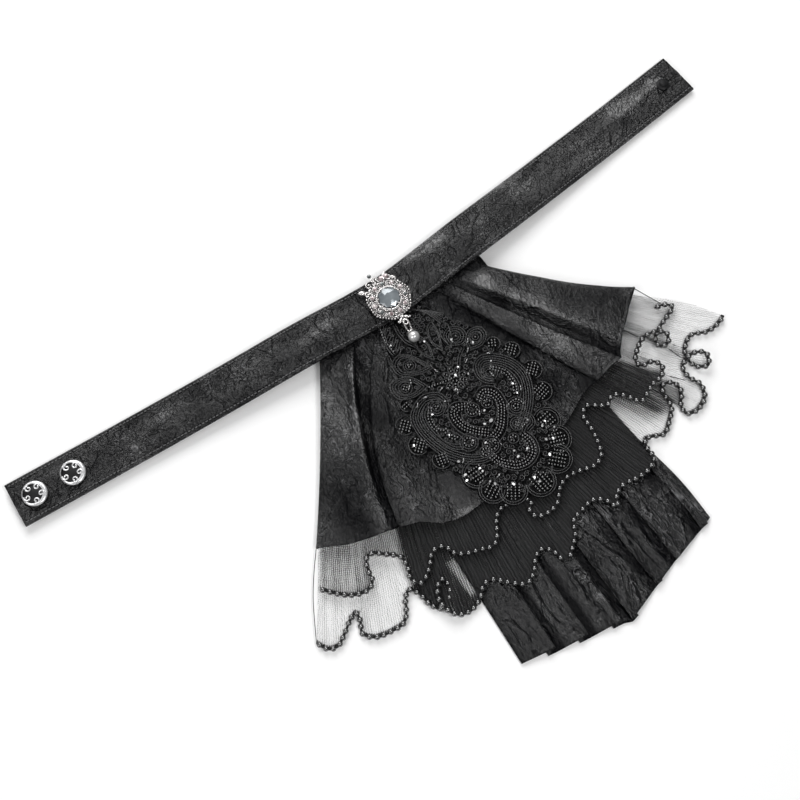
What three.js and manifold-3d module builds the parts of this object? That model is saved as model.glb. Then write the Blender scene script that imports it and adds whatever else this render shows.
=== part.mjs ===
// Jabot collar lying flat: a neck band with snaps, two tiers of net under a cloth flounce,
// a pleated tail, a corded applique, and a brooch with a pearl drop.
// Millimetres, +Z up, +X along the band, -Y towards the tail. z = 0 is the surface it lies on.
import * as THREE from 'three'
import { mergeVertices } from 'three/addons/utils/BufferGeometryUtils.js'
import Module from 'manifold-3d'

const wasm = await Module()
wasm.setup()

// Driving sizes
const gap = 0.3
const netGap = 0.45
const cloth = 1.0
const bandWidth = 24.4
const bandThick = 2.0
const beadTubeRadius = 1.4
const headerY = -5
const middleX = 3

// Heights of the underside of each layer where the tail lies below it
const tailFlat = 1.0
const pleatRise = 1.2
const lowerNetZ = tailFlat + pleatRise + gap
const upperNetZ = lowerNetZ + cloth + netGap
const flounceZ = upperNetZ + cloth + netGap
const flounceThick = 1.2
const appliqueZ = flounceZ + flounceThick + gap
const appliqueThick = 1.2
const bandMiddleZ = appliqueZ + appliqueThick + gap
const broochZ = bandMiddleZ + bandThick + gap

// The band's centre line from the snap end to the stud end: x, y and the height of its underside
const bandLine = [
  { x: -213.9, y: 14.5, z: 3.2 },
  { x: -150, y: 9.3, z: 3.6 },
  { x: -95, y: 4.8, z: 5.6 },
  { x: -50, y: 1.2, z: bandMiddleZ },
  { x: -20, y: -1.5, z: bandMiddleZ },
  { x: 0, y: -2.4, z: bandMiddleZ },
  { x: 20, y: -1.2, z: bandMiddleZ },
  { x: 50, y: 1.4, z: bandMiddleZ },
  { x: 95, y: 5.6, z: 4.6 },
  { x: 150, y: 10.6, z: 1.9 },
  { x: 201.9, y: 15.3, z: 1.5 }
]
const snaps = [
  { name: 'snap_1', x: -203 },
  { name: 'snap_2', x: -182 }
]
const studX = 190
const postRadius = 1.5
const postHoleRadius = postRadius + gap

// Each fold of the flounce runs from the band to the hem. lift is its height over the net below at
// the band, half way and at the hem, and columns is the number of strips up to the next fold.
const flounceFolds = [
  { fold: 'left edge', top: [-46, headerY], middle: [-74, -47], hem: [-105, -88.5], lift: [0, 0.4, 0.4], columns: 4 },
  { fold: 'left crown', top: [-43, headerY], middle: [-62, -50], hem: [-87, -98], lift: [0, 4.5, 3.5], columns: 3 },
  { fold: 'left ridge', top: [-37, headerY], middle: [-51.5, -50], hem: [-69.5, -102.5], lift: [0.2, 6.5, 3], columns: 2 },
  { fold: 'left valley', top: [-31, headerY], middle: [-47.5, -51], hem: [-67.8, -103.4], lift: [0, 0.6, 0.4], columns: 1 },
  { fold: 'centre edge', top: [-27, headerY], middle: [-45, -51], hem: [-66, -104.6], lift: [0.2, 3.6, 2.6], columns: 3 },
  { fold: 'small tuck', top: [-23, headerY], middle: [-47.5, -62], hem: [-49, -114], lift: [0, 1.4, 1], columns: 2 },
  { fold: 'applique left', top: [-19, headerY], middle: [-41, -67], hem: [-36, -117.4], lift: [0, 0, 0], columns: 5 },
  { fold: 'applique right', top: [10, headerY], middle: [31, -66], hem: [34, -107.6], lift: [0, 0, 0], columns: 2 },
  { fold: 'right hollow', top: [17, headerY], middle: [39.6, -62], hem: [53, -100.2], lift: [0, 0, 0.1], columns: 1 },
  { fold: 'second edge', top: [19, headerY], middle: [41.6, -62], hem: [59, -99.6], lift: [0, 1.5, 1], columns: 2 },
  { fold: 'second ridge', top: [23, headerY], middle: [48.5, -57], hem: [75.5, -97.2], lift: [0.2, 4.6, 3], columns: 2 },
  { fold: 'right valley', top: [26, headerY], middle: [51.5, -54], hem: [77.5, -94], lift: [0, 0.8, 0.4], columns: 1 },
  { fold: 'right ridge', top: [30, headerY], middle: [55, -50.5], hem: [81, -90], lift: [0.2, 5.6, 3], columns: 4 },
  { fold: 'right crown', top: [36, headerY], middle: [66, -46], hem: [93, -80.5], lift: [0, 3, 2], columns: 3 },
  { fold: 'right edge', top: [41, headerY], middle: [73, -42], hem: [106, -69.6], lift: [0, 0.4, 0.4], columns: 0 }
]
const flounceRows = 8
const foldsFlatUntil = 0.06
const foldsFullFrom = 0.36

// The two nets are a fan of straight lines from the band. Angles are from -Y towards +X.
const netFan = {
  leftX: -45, rightX: 40, leftAngle: -35.2, rightAngle: 42.8, columns: 42, start: 60, reach: 190, trim: 0.5
}
const netWaves = { count: 18, height: 1.1, start: 70, full: 130, apexY: 35, shareOverTail: 0.15 }
const tailEdge = { full: 58, clear: 100 }
const netRows = [0, 0.25, 0.42, 0.56, 0.68, 0.79, 0.9, 1]

// Hand-picked routes of the bead strands sewn along the net hems: x, y and, where the strand
// lies over itself or its net, how far it is lifted over the layer below
const upperStrandLeft = [
  [-114.6, -105.9], [-108.8, -112.9], [-102.4, -118.1], [-96, -119.9], [-91.6, -117.6], [-90.3, -111.5],
  [-87.8, -106.8], [-84.3, -106.1], [-79.5, -110], [-73.6, -116], [-74, -122.4], [-76, -128], [-72.8, -131.9],
  [-66, -128.7], [-60.2, -123.1], [-56, -122.4], [-52.8, -124.6], [-51, -129.6], [-45.9, -133.2],
  [-40, -135.2], [-33.6, -137.4], [-29.2, -134.4], [-25.4, -128.6], [-21, -124.8], [-13.5, -124.6]
]
const upperStrandRight = [
  [-10.6, -125.5], [-5, -129.4], [-9, -134.2], [-7, -138], [-0.7, -139.5], [5.4, -137.8], [10, -133],
  [16, -130.4], [24, -131.6], [31, -133.5], [36.8, -131.6], [39.8, -125.5], [41.6, -117.5], [42.4, -109.6],
  [46.4, -106.4], [51, -109.2], [55.6, -112.2], [60.8, -109.6], [66, -113.4], [70.6, -120.6, 0.6],
  [74, -119.6, 0.8], [81.7, -116.5, 0.6], [87.6, -115.6], [91.2, -111.4], [88.8, -106.8], [83.2, -105.6],
  [81.6, -102.2], [86.3, -97.3, 0.6], [93, -94.2, 1.4], [99.6, -95.4, 2.8], [103.4, -99.6, 3],
  [100.4, -104, 2.4], [96.6, -102.2, 0.6], [98, -97.6], [103.4, -94.2], [110.9, -91.4], [116, -89],
  [113.4, -85.8], [108, -84.2]
]
const lowerStrandLeft = [
  [-130.5, -126.6], [-127.8, -132], [-123, -133.6], [-117.7, -130.9], [-111.5, -126.8], [-107, -125],
  [-107.2, -129.4], [-110, -135.4], [-106, -140.4], [-97.7, -142.6], [-90.4, -142.6], [-86, -138],
  [-83, -133], [-79, -131], [-76.4, -135.4], [-75.2, -142.4], [-72.4, -147.2], [-66.6, -146], [-62.6, -141],
  [-63, -136.4, 1.8], [-67, -137.6, 3.3], [-70.4, -143.2, 3.4], [-70.6, -149.2, 3.2], [-67.2, -154.6, 1.6],
  [-62, -156.4], [-56.8, -155.6], [-52.6, -153.4, 1.6], [-48.4, -149.9, 2.3], [-43.4, -150.6, 2.3],
  [-38, -156, 2.3], [-31, -161.6, 2.3], [-25, -159, 2.3], [-19.6, -153.4, 2.3], [-14.6, -152.2, 2.3],
  [-11, -156.6, 2.3], [-10, -163, 2.3]
]
const lowerStrandRight = [
  [-6.8, -163.6, 2.3], [-2, -159.8, 2.3], [2.8, -155.6, 2.3], [6.2, -149.8, 2.3], [12, -148, 2.3],
  [20.6, -147, 2.3], [25.6, -151, 2.3], [28, -156.6, 2.3], [31.4, -151.6, 2.3], [37, -149.4, 2.3],
  [45, -150.6, 2.3], [53, -150.2, 2.3], [58.4, -147.2, 1.8], [59, -141.6], [61.4, -136.8], [66, -138.2],
  [70.8, -140.2], [76.4, -136.8], [82.4, -131], [83.4, -125], [85, -119.6, 1], [90.6, -121.6, 1.6],
  [91.2, -127.6, 1.2], [86.8, -133.2], [86.4, -138.2], [92.6, -139.8], [99.4, -136.6], [101.9, -130.2],
  [99.2, -123], [100.2, -117.4, 0.6], [107.6, -115.2, 3.2], [113.4, -119, 3.4], [110.8, -124.6, 2.4],
  [106, -121], [105.2, -113.8], [108.6, -109.2], [114.4, -106.4], [122, -109.6], [129, -109.6], [134.9, -107.6]
]
const strandStep = 5
const hemClearance = beadTubeRadius + 0.45

// Each pleat of the tail: its hem corners and the rise from its tucked edge to its folded edge
const tailPleats = [
  { left: [-56, -191.2], right: [-42.4, -193.8], rise: [0.5, 0.1] },
  { left: [-41.8, -195.4], right: [-26.4, -198], rise: [1.2, 0.2] },
  { left: [-25.8, -199.4], right: [-9.4, -201.2], rise: [1.2, 0.2] },
  { left: [-8.8, -203.2], right: [-3.4, -205.2], rise: [1.2, 0.9] },
  { left: [0.4, -205], right: [15.2, -200.4], rise: [0.9, 1.2] },
  { left: [18.4, -198.8], right: [31.4, -195.8], rise: [0.8, 1.2] },
  { left: [35.8, -194.2], right: [52, -190], rise: [0.6, 1.1] },
  { left: [52.6, -188.8], right: [61, -187.2], rise: [0.2, 0.5] }
]
const tailTaper = 0.7
const tailRows = 7
const pleatsFullFrom = 0.3

// The applique's scalloped lobes, each a disc with a raised pad of padScale times its radius
const appliqueLobes = [
  { at: [-18.5, -104.5], radius: 8.6 },
  { at: [-17, -114], radius: 8.6 },
  { at: [-11, -121], radius: 7.6 },
  { at: [4.5, -125], radius: 8.4 },
  { at: [17.5, -119.5], radius: 7.8 },
  { at: [22.5, -111.5], radius: 8.8 },
  { at: [24, -102], radius: 8.4 },
  { at: [-32.5, -63.5], radius: 5.4 },
  { at: [-33.5, -77], radius: 5.4 },
  { at: [-30, -88], radius: 5.2 },
  { at: [33, -60.5], radius: 4.8 },
  { at: [34.5, -74.5], radius: 5.4 },
  { at: [31, -88], radius: 5.2 },
  { at: [-25, -46], radius: 6.3 },
  { at: [-16, -37], radius: 6.4 },
  { at: [23, -44], radius: 5.6 },
  { at: [13.5, -35], radius: 6.6 },
  { at: [0, -52.5], radius: 6.4 },
  { at: [3.5, -104], radius: 11.5 }
]
const padScale = 0.72
const padRise = 0.8
const appliqueOutline = [
  [-15, -11], [-18, -24], [-20, -34], [-27, -52], [-33, -70], [-31, -92], [-24, -104], [-14, -122],
  [4, -126], [19, -120], [28, -106], [31, -92], [35, -72], [30, -54], [21, -36], [17, -24], [15, -11]
]
// The two big scrolls and the pair of curled leaves between them: lines of cord laid side by side
const appliqueScrolls = [
  { width: 4.4, line: [[7, -64], [13, -59], [22, -59], [28, -66], [29.5, -76], [27, -87], [20, -95], [10, -99]] },
  { width: 4.4, line: [[-7, -64], [-13, -59], [-21, -59], [-27, -66], [-28.5, -76], [-25, -88], [-17, -96], [-8, -99]] },
  { width: 6, line: [[3.5, -71], [10, -74], [11.5, -82], [6, -89]] },
  { width: 6, line: [[-3.5, -71], [-9, -74], [-10.5, -82], [-5, -89]] }
]

const brooch = { x: -2.4, y: -4.6, radius: 10.6, thick: 1.5, rimBeads: 16, rimBeadRadius: 1.5 }
const stone = { girdle: 5.6, table: 3.7, crown: 1.7, pavilion: 1.9, girdleThick: 0.5, facets: 12 }
const pearl = { x: -3.8, y: -28.3, radius: 3 }

const looks = {
  leather: { color: 0x1b1b1e, roughness: 0.45, metalness: 0 },
  net: { color: 0x26262a, roughness: 0.8, metalness: 0 },
  cord: { color: 0x17171a, roughness: 0.5, metalness: 0 },
  bead: { color: 0x1a1a1d, roughness: 0.2, metalness: 0 },
  silver: { color: 0xb9b9bd, roughness: 0.3, metalness: 1 },
  blackMetal: { color: 0x202022, roughness: 0.35, metalness: 0.6 },
  crystal: { color: 0xaeb4ba, roughness: 0.05, metalness: 0 },
  pearl: { color: 0xd8d6d2, roughness: 0.25, metalness: 0 }
}

const group = new THREE.Group()

function addPiece(name, geometry, look) {
  const mesh = new THREE.Mesh(geometry, new THREE.MeshStandardMaterial(looks[look]))
  mesh.name = name
  group.add(mesh)
}

function smooth(from, to, value) {
  const t = THREE.MathUtils.clamp((value - from) / (to - from), 0, 1)
  return t * t * (3 - 2 * t)
}

function quadratic(a, b, c, t) {
  const control = 2 * b - (a + c) / 2
  return (1 - t) * (1 - t) * a + 2 * t * (1 - t) * control + t * t * c
}

// Booleans
function toSolid(geometry) {
  const bare = geometry.clone()
  bare.deleteAttribute('normal')
  bare.deleteAttribute('uv')
  const merged = mergeVertices(bare, 1e-4)
  const mesh = new wasm.Mesh({
    numProp: 3,
    vertProperties: new Float32Array(merged.attributes.position.array),
    triVerts: new Uint32Array(merged.index.array)
  })
  return new wasm.Manifold(mesh)
}

function toGeometry(solid) {
  const mesh = solid.getMesh()
  const geometry = new THREE.BufferGeometry()
  geometry.setAttribute('position', new THREE.BufferAttribute(new Float32Array(mesh.vertProperties), 3))
  geometry.setIndex(new THREE.BufferAttribute(new Uint32Array(mesh.triVerts), 1))
  return geometry
}

function fuse(geometries) {
  return geometries.map(toSolid).reduce((whole, solid) => whole.add(solid))
}

// A closed sheet: a grid of top points, column by column, over a copy of it at the heights of under
function sheet(columns, under) {
  const rows = columns[0].length
  const top = columns.flat()
  const count = top.length
  const points = []
  for (const [x, y, z] of top) points.push(x, y, z)
  for (const [x, y, z] of top) points.push(x, y, under(z))
  const index = []
  const quad = (a, b, c, d) => index.push(a, b, c, a, c, d)
  for (let i = 0; i < columns.length - 1; i++) {
    for (let j = 0; j < rows - 1; j++) {
      const a = i * rows + j
      quad(a, a + 1, a + 1 + rows, a + rows)
      quad(a + count, a + count + rows, a + count + 1 + rows, a + count + 1)
    }
  }
  const rim = []
  for (let i = 0; i < columns.length - 1; i++) rim.push(i * rows)
  for (let j = 0; j < rows - 1; j++) rim.push((columns.length - 1) * rows + j)
  for (let i = columns.length - 1; i > 0; i--) rim.push(i * rows + rows - 1)
  for (let j = rows - 1; j > 0; j--) rim.push(j)
  rim.forEach((a, i) => {
    const b = rim[(i + 1) % rim.length]
    quad(a, b, b + count, a + count)
  })
  const geometry = new THREE.BufferGeometry()
  geometry.setAttribute('position', new THREE.Float32BufferAttribute(points, 3))
  geometry.setIndex(index)
  return geometry
}

// Heights of the cloth layers' undersides. They lie on the tail in the middle and fall to the
// surface beside it, with ripples that grow towards the hems.
function overTail(x) {
  return 1 - smooth(tailEdge.full, tailEdge.clear, Math.abs(x - middleX))
}

function fanWave(x, y) {
  const angle = Math.atan2(x - middleX, netWaves.apexY - y)
  const ripple = 0.5 - 0.5 * Math.cos(netWaves.count * angle)
  const reach = Math.hypot(x - middleX, y - headerY)
  const share = THREE.MathUtils.lerp(1, netWaves.shareOverTail, overTail(x))
  return netWaves.height * ripple * smooth(netWaves.start, netWaves.full, reach) * share
}

function lowerNetBottom(x, y) {
  return lowerNetZ * overTail(x) + fanWave(x, y)
}

function upperNetBottom(x, y) {
  return lowerNetBottom(x, y) + upperNetZ - lowerNetZ
}

function flounceBottom(x, y) {
  return upperNetBottom(x, y) + flounceZ - upperNetZ
}

// Neck band
const bandCurve = new THREE.CatmullRomCurve3(bandLine.map((p) => new THREE.Vector3(p.x, p.y, p.z)))

function bandPoint(t, side, lift) {
  const point = bandCurve.getPoint(t)
  const along = bandCurve.getTangent(t)
  const across = new THREE.Vector2(along.y, -along.x).normalize()
  const offset = side * bandWidth / 2
  return [point.x + across.x * offset, point.y + across.y * offset, point.z + lift]
}

function bandAt(x) {
  const samples = bandCurve.getPoints(800)
  return samples.reduce((best, p) => (Math.abs(p.x - x) < Math.abs(best.x - x) ? p : best))
}

// The band's cross section: its folded edges are thinner than its padded middle
const bandEdgeDrop = 0.5
const bandCrown = 0.25
const bandSection = [
  { side: -1, lift: -bandEdgeDrop },
  { side: -0.84, lift: 0 },
  { side: 0, lift: bandCrown },
  { side: 0.84, lift: 0 },
  { side: 1, lift: -bandEdgeDrop }
]

function neckBand() {
  const lengthSteps = 28
  const columns = []
  for (let i = 0; i <= lengthSteps; i++) {
    columns.push(bandSection.map(({ side, lift }) => bandPoint(i / lengthSteps, side, bandThick + lift)))
  }
  let solid = toSolid(sheet(columns, (z) => z - bandThick + bandEdgeDrop))
  for (const x of [...snaps.map((snap) => snap.x), studX]) {
    const at = bandAt(x)
    const hole = new THREE.CylinderGeometry(postHoleRadius, postHoleRadius, 4 * bandThick, 12)
    hole.rotateX(Math.PI / 2)
    hole.translate(at.x, at.y, at.z)
    solid = solid.subtract(toSolid(hole))
  }
  addPiece('neck_band', toGeometry(solid), 'leather')
}

// Snaps: a domed cap over the band, its post through it and its socket under it, as one pressed piece
function turned(profile, sides, x, y) {
  const geometry = new THREE.LatheGeometry(profile.map(([r, z]) => new THREE.Vector2(r, z)), sides)
  geometry.rotateX(Math.PI / 2)
  geometry.translate(x, y, 0)
  return geometry
}

function snapCap({ name, x }) {
  const at = bandAt(x)
  const capZ = at.z + bandThick + bandCrown + gap
  const socketTop = at.z - gap
  const body = turned([
    [0, 0], [4.6, 0], [5, 0.5], [5, socketTop - 0.4], [4.6, socketTop], [postRadius, socketTop],
    [postRadius, capZ], [6.1, capZ], [6.5, capZ + 0.5], [5.9, capZ + 1.3], [4.7, capZ + 1.3],
    [4.3, capZ + 0.9], [2.2, capZ + 1.7], [0, capZ + 1.9]
  ], 14, at.x, at.y)
  const lobes = []
  const lobeCount = 5
  const lobeRing = 4.3
  for (let i = 0; i < lobeCount; i++) {
    const angle = i * 2 * Math.PI / lobeCount
    const lobe = new THREE.CylinderGeometry(1.1, 1.3, 1.1, 6)
    lobe.rotateX(Math.PI / 2)
    lobe.translate(at.x + lobeRing * Math.cos(angle), at.y + lobeRing * Math.sin(angle), capZ + 1.1)
    lobes.push(lobe)
  }
  addPiece(name, toGeometry(fuse([body, ...lobes])), 'silver')
}

function snapStud() {
  const at = bandAt(studX)
  const headZ = at.z + bandThick + bandCrown + gap
  const eyeletTop = at.z - gap
  const body = turned([
    [0, 0], [4, 0], [4.2, 0.3], [4.2, eyeletTop], [postRadius, eyeletTop], [postRadius, headZ],
    [3.4, headZ], [3.4, headZ + 0.6], [1.7, headZ + 0.8], [2.1, headZ + 1.6], [1.8, headZ + 2.2], [0, headZ + 2.4]
  ], 12, at.x, at.y)
  addPiece('snap_stud', body, 'blackMetal')
}

// Flounce: its columns follow the folds, with smooth strips between them
function flounce() {
  const stations = flounceFolds.length
  const between = (pick, at) => {
    const i = Math.min(Math.floor(at), stations - 2)
    return THREE.MathUtils.lerp(pick(flounceFolds[i]), pick(flounceFolds[i + 1]), at - i)
  }
  const places = ['top', 'middle', 'hem']
  const columns = []
  flounceFolds.forEach((fold, i) => {
    for (let k = 0; k < Math.max(fold.columns, 1); k++) {
      const at = i + (fold.columns ? k / fold.columns : 0)
      const column = []
      for (let j = 0; j <= flounceRows; j++) {
        const t = j / flounceRows
        const x = quadratic(...places.map((place) => between((f) => f[place][0], at)), t)
        const y = quadratic(...places.map((place) => between((f) => f[place][1], at)), t)
        const lift = quadratic(...places.map((_, n) => between((f) => f.lift[n], at)), t)
        const opening = smooth(foldsFlatUntil, foldsFullFrom, t)
        column.push([x, y, flounceBottom(x, y) + Math.max(lift, 0) * opening + flounceThick])
      }
      columns.push(column)
    }
  })
  addPiece('flounce', sheet(columns, (z) => z - flounceThick), 'leather')
}

// Bead strands, each a plain tube along its hem, lying on the layer below
function onLowerNet(x, y) {
  return lowerNetBottom(x, y) + cloth
}

function onSurface() {
  return 0
}

function strandPath({ route, layerTop }) {
  return new THREE.CatmullRomCurve3(route.map(([x, y, rise = 0]) => {
    return new THREE.Vector3(x, y, layerTop(x, y) + gap + beadTubeRadius + rise)
  }))
}

function strandSteps(path) {
  return Math.round(path.getLength() / strandStep)
}

function addStrand({ name, route, layerTop }) {
  const path = strandPath({ route, layerTop })
  const section = new THREE.Shape()
  section.absarc(0, 0, beadTubeRadius, 0, 2 * Math.PI)
  const tube = new THREE.ExtrudeGeometry(section, {
    steps: strandSteps(path),
    curveSegments: 4,
    bevelEnabled: false,
    extrudePath: path
  })
  tube.deleteAttribute('normal')
  tube.deleteAttribute('uv')
  addPiece(name, mergeVertices(tube, 1e-4), 'bead')
}

// Points close together along the tubes' straight steps
function strandSamples(strands) {
  const perStep = 6
  return strands.flatMap((strand) => {
    const path = strandPath(strand)
    const corners = path.getSpacedPoints(strandSteps(path))
    const samples = [corners.at(-1)]
    for (let i = 0; i < corners.length - 1; i++) {
      for (let k = 0; k < perStep; k++) samples.push(corners[i].clone().lerp(corners[i + 1], k / perStep))
    }
    return samples
  })
}

// Nets: each line of the fan ends where it meets the bead strand of its own hem
function netLine(i) {
  const u = i / netFan.columns
  const angle = THREE.MathUtils.degToRad(THREE.MathUtils.lerp(netFan.leftAngle, netFan.rightAngle, u))
  const startX = THREE.MathUtils.lerp(netFan.leftX, netFan.rightX, u)
  return (reach) => new THREE.Vector2(startX + reach * Math.sin(angle), headerY - reach * Math.cos(angle))
}

function clearOf(hem, point) {
  return !hem.some((p) => Math.hypot(p.x - point.x, p.y - point.y) < hemClearance)
}

// Length of each line: out to the strand, then short enough for the hem between two lines to clear it
function netLengths(hem) {
  const lines = Array.from({ length: netFan.columns + 1 }, (_, i) => netLine(i))
  const lengths = lines.map((line) => {
    let reach = netFan.start
    while (reach < netFan.reach && clearOf(hem, line(reach))) reach += netFan.trim
    return reach - netFan.trim
  })
  const edgeSamples = 8
  const edgeClear = (i) => {
    const from = lines[i](lengths[i])
    const to = lines[i + 1](lengths[i + 1])
    for (let k = 1; k < edgeSamples; k++) {
      if (!clearOf(hem, from.clone().lerp(to, k / edgeSamples))) return false
    }
    return true
  }
  for (let settled = false; !settled;) {
    settled = true
    for (let i = 0; i < netFan.columns; i++) {
      while (!edgeClear(i)) {
        lengths[lengths[i] > lengths[i + 1] ? i : i + 1] -= netFan.trim
        settled = false
      }
    }
  }
  return lengths
}

function net(name, strands, bottom) {
  const lengths = netLengths(strandSamples(strands))
  const columns = lengths.map((length, i) => netRows.map((row) => {
    const { x, y } = netLine(i)(row * length)
    return [x, y, bottom(x, y) + cloth]
  }))
  addPiece(name, sheet(columns, (z) => z - cloth), 'net')
}

// Tail: knife pleats that lap towards the middle and taper to the band, flat on the surface below
function tail() {
  const columns = []
  const addColumn = ([hemX, hemY], rise) => {
    const column = []
    for (let j = 0; j <= tailRows; j++) {
      const t = j / tailRows
      const x = middleX + (hemX - middleX) * THREE.MathUtils.lerp(tailTaper, 1, t)
      const y = THREE.MathUtils.lerp(headerY, hemY, t)
      column.push([x, y, tailFlat + rise * smooth(0, pleatsFullFrom, t)])
    }
    columns.push(column)
  }
  for (const { left, right, rise } of tailPleats) {
    addColumn(left, rise[0])
    addColumn([(left[0] + right[0]) / 2, (left[1] + right[1]) / 2], (rise[0] + rise[1]) / 2)
    addColumn(right, rise[1])
  }
  addPiece('tail', sheet(columns, () => 0), 'leather')
}

// Applique
function disc([x, y], radius, bottom, height, sides) {
  const geometry = new THREE.CylinderGeometry(radius, radius, height, sides)
  geometry.rotateX(Math.PI / 2)
  geometry.translate(x, y, bottom + height / 2)
  return geometry
}

function plate(outline, bottom, height) {
  const shape = new THREE.Shape(outline.map(([x, y]) => new THREE.Vector2(x, y)))
  const geometry = new THREE.ExtrudeGeometry(shape, { depth: height, bevelEnabled: false })
  geometry.translate(0, 0, bottom)
  return geometry
}

function ribbon(line, width) {
  const curve = new THREE.SplineCurve(line.map(([x, y]) => new THREE.Vector2(x, y)))
  const steps = line.length * 2
  const sides = [[], []]
  for (let i = 0; i <= steps; i++) {
    const point = curve.getPoint(i / steps)
    const along = curve.getTangent(i / steps)
    const half = width / 2 * Math.sin(Math.PI * (0.15 + 0.7 * i / steps))
    sides[0].push([point.x - along.y * half, point.y + along.x * half])
    sides[1].unshift([point.x + along.y * half, point.y - along.x * half])
  }
  return [...sides[0], ...sides[1]].reverse()
}

function applique() {
  const top = appliqueZ + appliqueThick
  const sink = 0.3
  const bases = [plate(appliqueOutline, appliqueZ, appliqueThick)]
  const pads = []
  for (const { at, radius } of appliqueLobes) {
    bases.push(disc(at, radius, appliqueZ, appliqueThick, 11))
    pads.push(disc(at, radius * padScale, top - sink, padRise + sink, 8))
  }
  for (const { width, line } of appliqueScrolls) {
    pads.push(plate(ribbon(line, width), top - sink, padRise + sink))
  }
  addPiece('applique', toGeometry(fuse([...bases, ...pads])), 'cord')
}

// Brooch
function ball(x, y, z, radius, sides, rings) {
  const geometry = new THREE.SphereGeometry(radius, sides, rings)
  geometry.translate(x, y, z)
  return geometry
}

function leaf({ dx, dy, turn, length, width }) {
  const geometry = new THREE.SphereGeometry(1, 8, 5)
  geometry.scale(width, length, 1.3)
  geometry.rotateZ(turn)
  geometry.translate(brooch.x + dx, brooch.y + dy, broochZ + 1.5)
  return geometry
}

function broochFrame() {
  const bezel = turned([
    [0, broochZ], [brooch.radius, broochZ], [brooch.radius, broochZ + brooch.thick],
    [7.6, broochZ + brooch.thick + 0.6], [6.9, broochZ + 2.9], [6.1, broochZ + 2.9],
    [6.0, broochZ + 0.8], [0, broochZ + 0.8]
  ], 24, brooch.x, brooch.y)
  const parts = [bezel]
  for (let i = 0; i < brooch.rimBeads; i++) {
    const angle = i * 2 * Math.PI / brooch.rimBeads
    const x = brooch.x + brooch.radius * Math.cos(angle)
    const y = brooch.y + brooch.radius * Math.sin(angle)
    parts.push(ball(x, y, broochZ + brooch.rimBeadRadius, brooch.rimBeadRadius, 6, 3))
  }
  const smallStones = { count: 8, ring: 9, height: 2 }
  for (let i = 0; i < smallStones.count; i++) {
    const angle = (i + 0.5) * 2 * Math.PI / smallStones.count
    const gem = new THREE.CylinderGeometry(0.7, 1.25, 1.2, 6)
    gem.rotateX(Math.PI / 2)
    gem.translate(
      brooch.x + smallStones.ring * Math.cos(angle),
      brooch.y + smallStones.ring * Math.sin(angle),
      broochZ + smallStones.height
    )
    parts.push(gem)
  }
  const leaves = [
    { dx: -1, dy: 14.2, turn: 0.1, length: 4, width: 1.7 },
    { dx: 3.4, dy: 11.6, turn: -0.9, length: 4.4, width: 1.9 },
    { dx: -5.6, dy: 11, turn: 0.9, length: 4.4, width: 1.9 }
  ]
  for (const placed of leaves) parts.push(leaf(placed))
  addPiece('brooch_frame', toGeometry(fuse(parts)), 'silver')
}

function broochStone() {
  const bottom = broochZ + 0.8 + gap
  const girdleZ = bottom + stone.pavilion
  const cut = turned([
    [0, bottom], [2, bottom], [stone.girdle, girdleZ], [stone.girdle, girdleZ + stone.girdleThick],
    [stone.table, girdleZ + stone.girdleThick + stone.crown], [0, girdleZ + stone.girdleThick + stone.crown]
  ], stone.facets, brooch.x, brooch.y)
  addPiece('brooch_stone', cut, 'crystal')
}

function broochDrop() {
  const z = broochZ + 1
  const top = brooch.y - brooch.radius - brooch.rimBeadRadius - gap
  const wings = [-1, 1].map((side) => {
    const wing = new THREE.SphereGeometry(1, 8, 5)
    wing.scale(1.9, 0.9, 0.8)
    wing.rotateZ(-side * 0.5)
    wing.translate(brooch.x + side * 1.7, top - 1.9, z)
    return wing
  })
  const ring = new THREE.TorusGeometry(1.3, 0.45, 5, 10)
  ring.translate(brooch.x - 0.3, top - 3.7, z)
  const stem = ball(brooch.x, top - 1.1, z, 0.9, 8, 5)
  const knot = ball((brooch.x + pearl.x) / 2, top - 6, z, 1, 8, 5)
  const capY = pearl.y + pearl.radius + gap
  const cap = new THREE.CylinderGeometry(0.6, 1.9, 1.6, 10)
  cap.translate((brooch.x + pearl.x) / 2, capY + 0.8, z)
  addPiece('brooch_drop', toGeometry(fuse([stem, ...wings, ring, knot, cap])), 'silver')
}

function pearlDrop() {
  const geometry = new THREE.SphereGeometry(pearl.radius, 14, 8)
  geometry.translate(pearl.x, pearl.y, appliqueZ + appliqueThick + gap + pearl.radius)
  addPiece('pearl', geometry, 'pearl')
}

// Stands the collar on z = 0 with the middle of its box on the origin
function centreOnBox() {
  const box = new THREE.Box3().setFromObject(group)
  const middle = box.getCenter(new THREE.Vector3())
  group.position.set(-middle.x, -middle.y, -box.min.z)
}

neckBand()
snaps.forEach(snapCap)
snapStud()
broochFrame()
broochStone()
broochDrop()
pearlDrop()
flounce()
const upperStrands = [
  { name: 'beads_upper_left', route: upperStrandLeft, layerTop: onLowerNet },
  { name: 'beads_upper_right', route: upperStrandRight, layerTop: onLowerNet }
]
const lowerStrands = [
  { name: 'beads_lower_left', route: lowerStrandLeft, layerTop: onSurface },
  { name: 'beads_lower_right', route: lowerStrandRight, layerTop: onSurface }
]
net('net_upper', upperStrands, upperNetBottom)
net('net_lower', lowerStrands, lowerNetBottom)
for (const strand of [...upperStrands, ...lowerStrands]) addStrand(strand)
tail()
applique()
centreOnBox()

export default group
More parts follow.
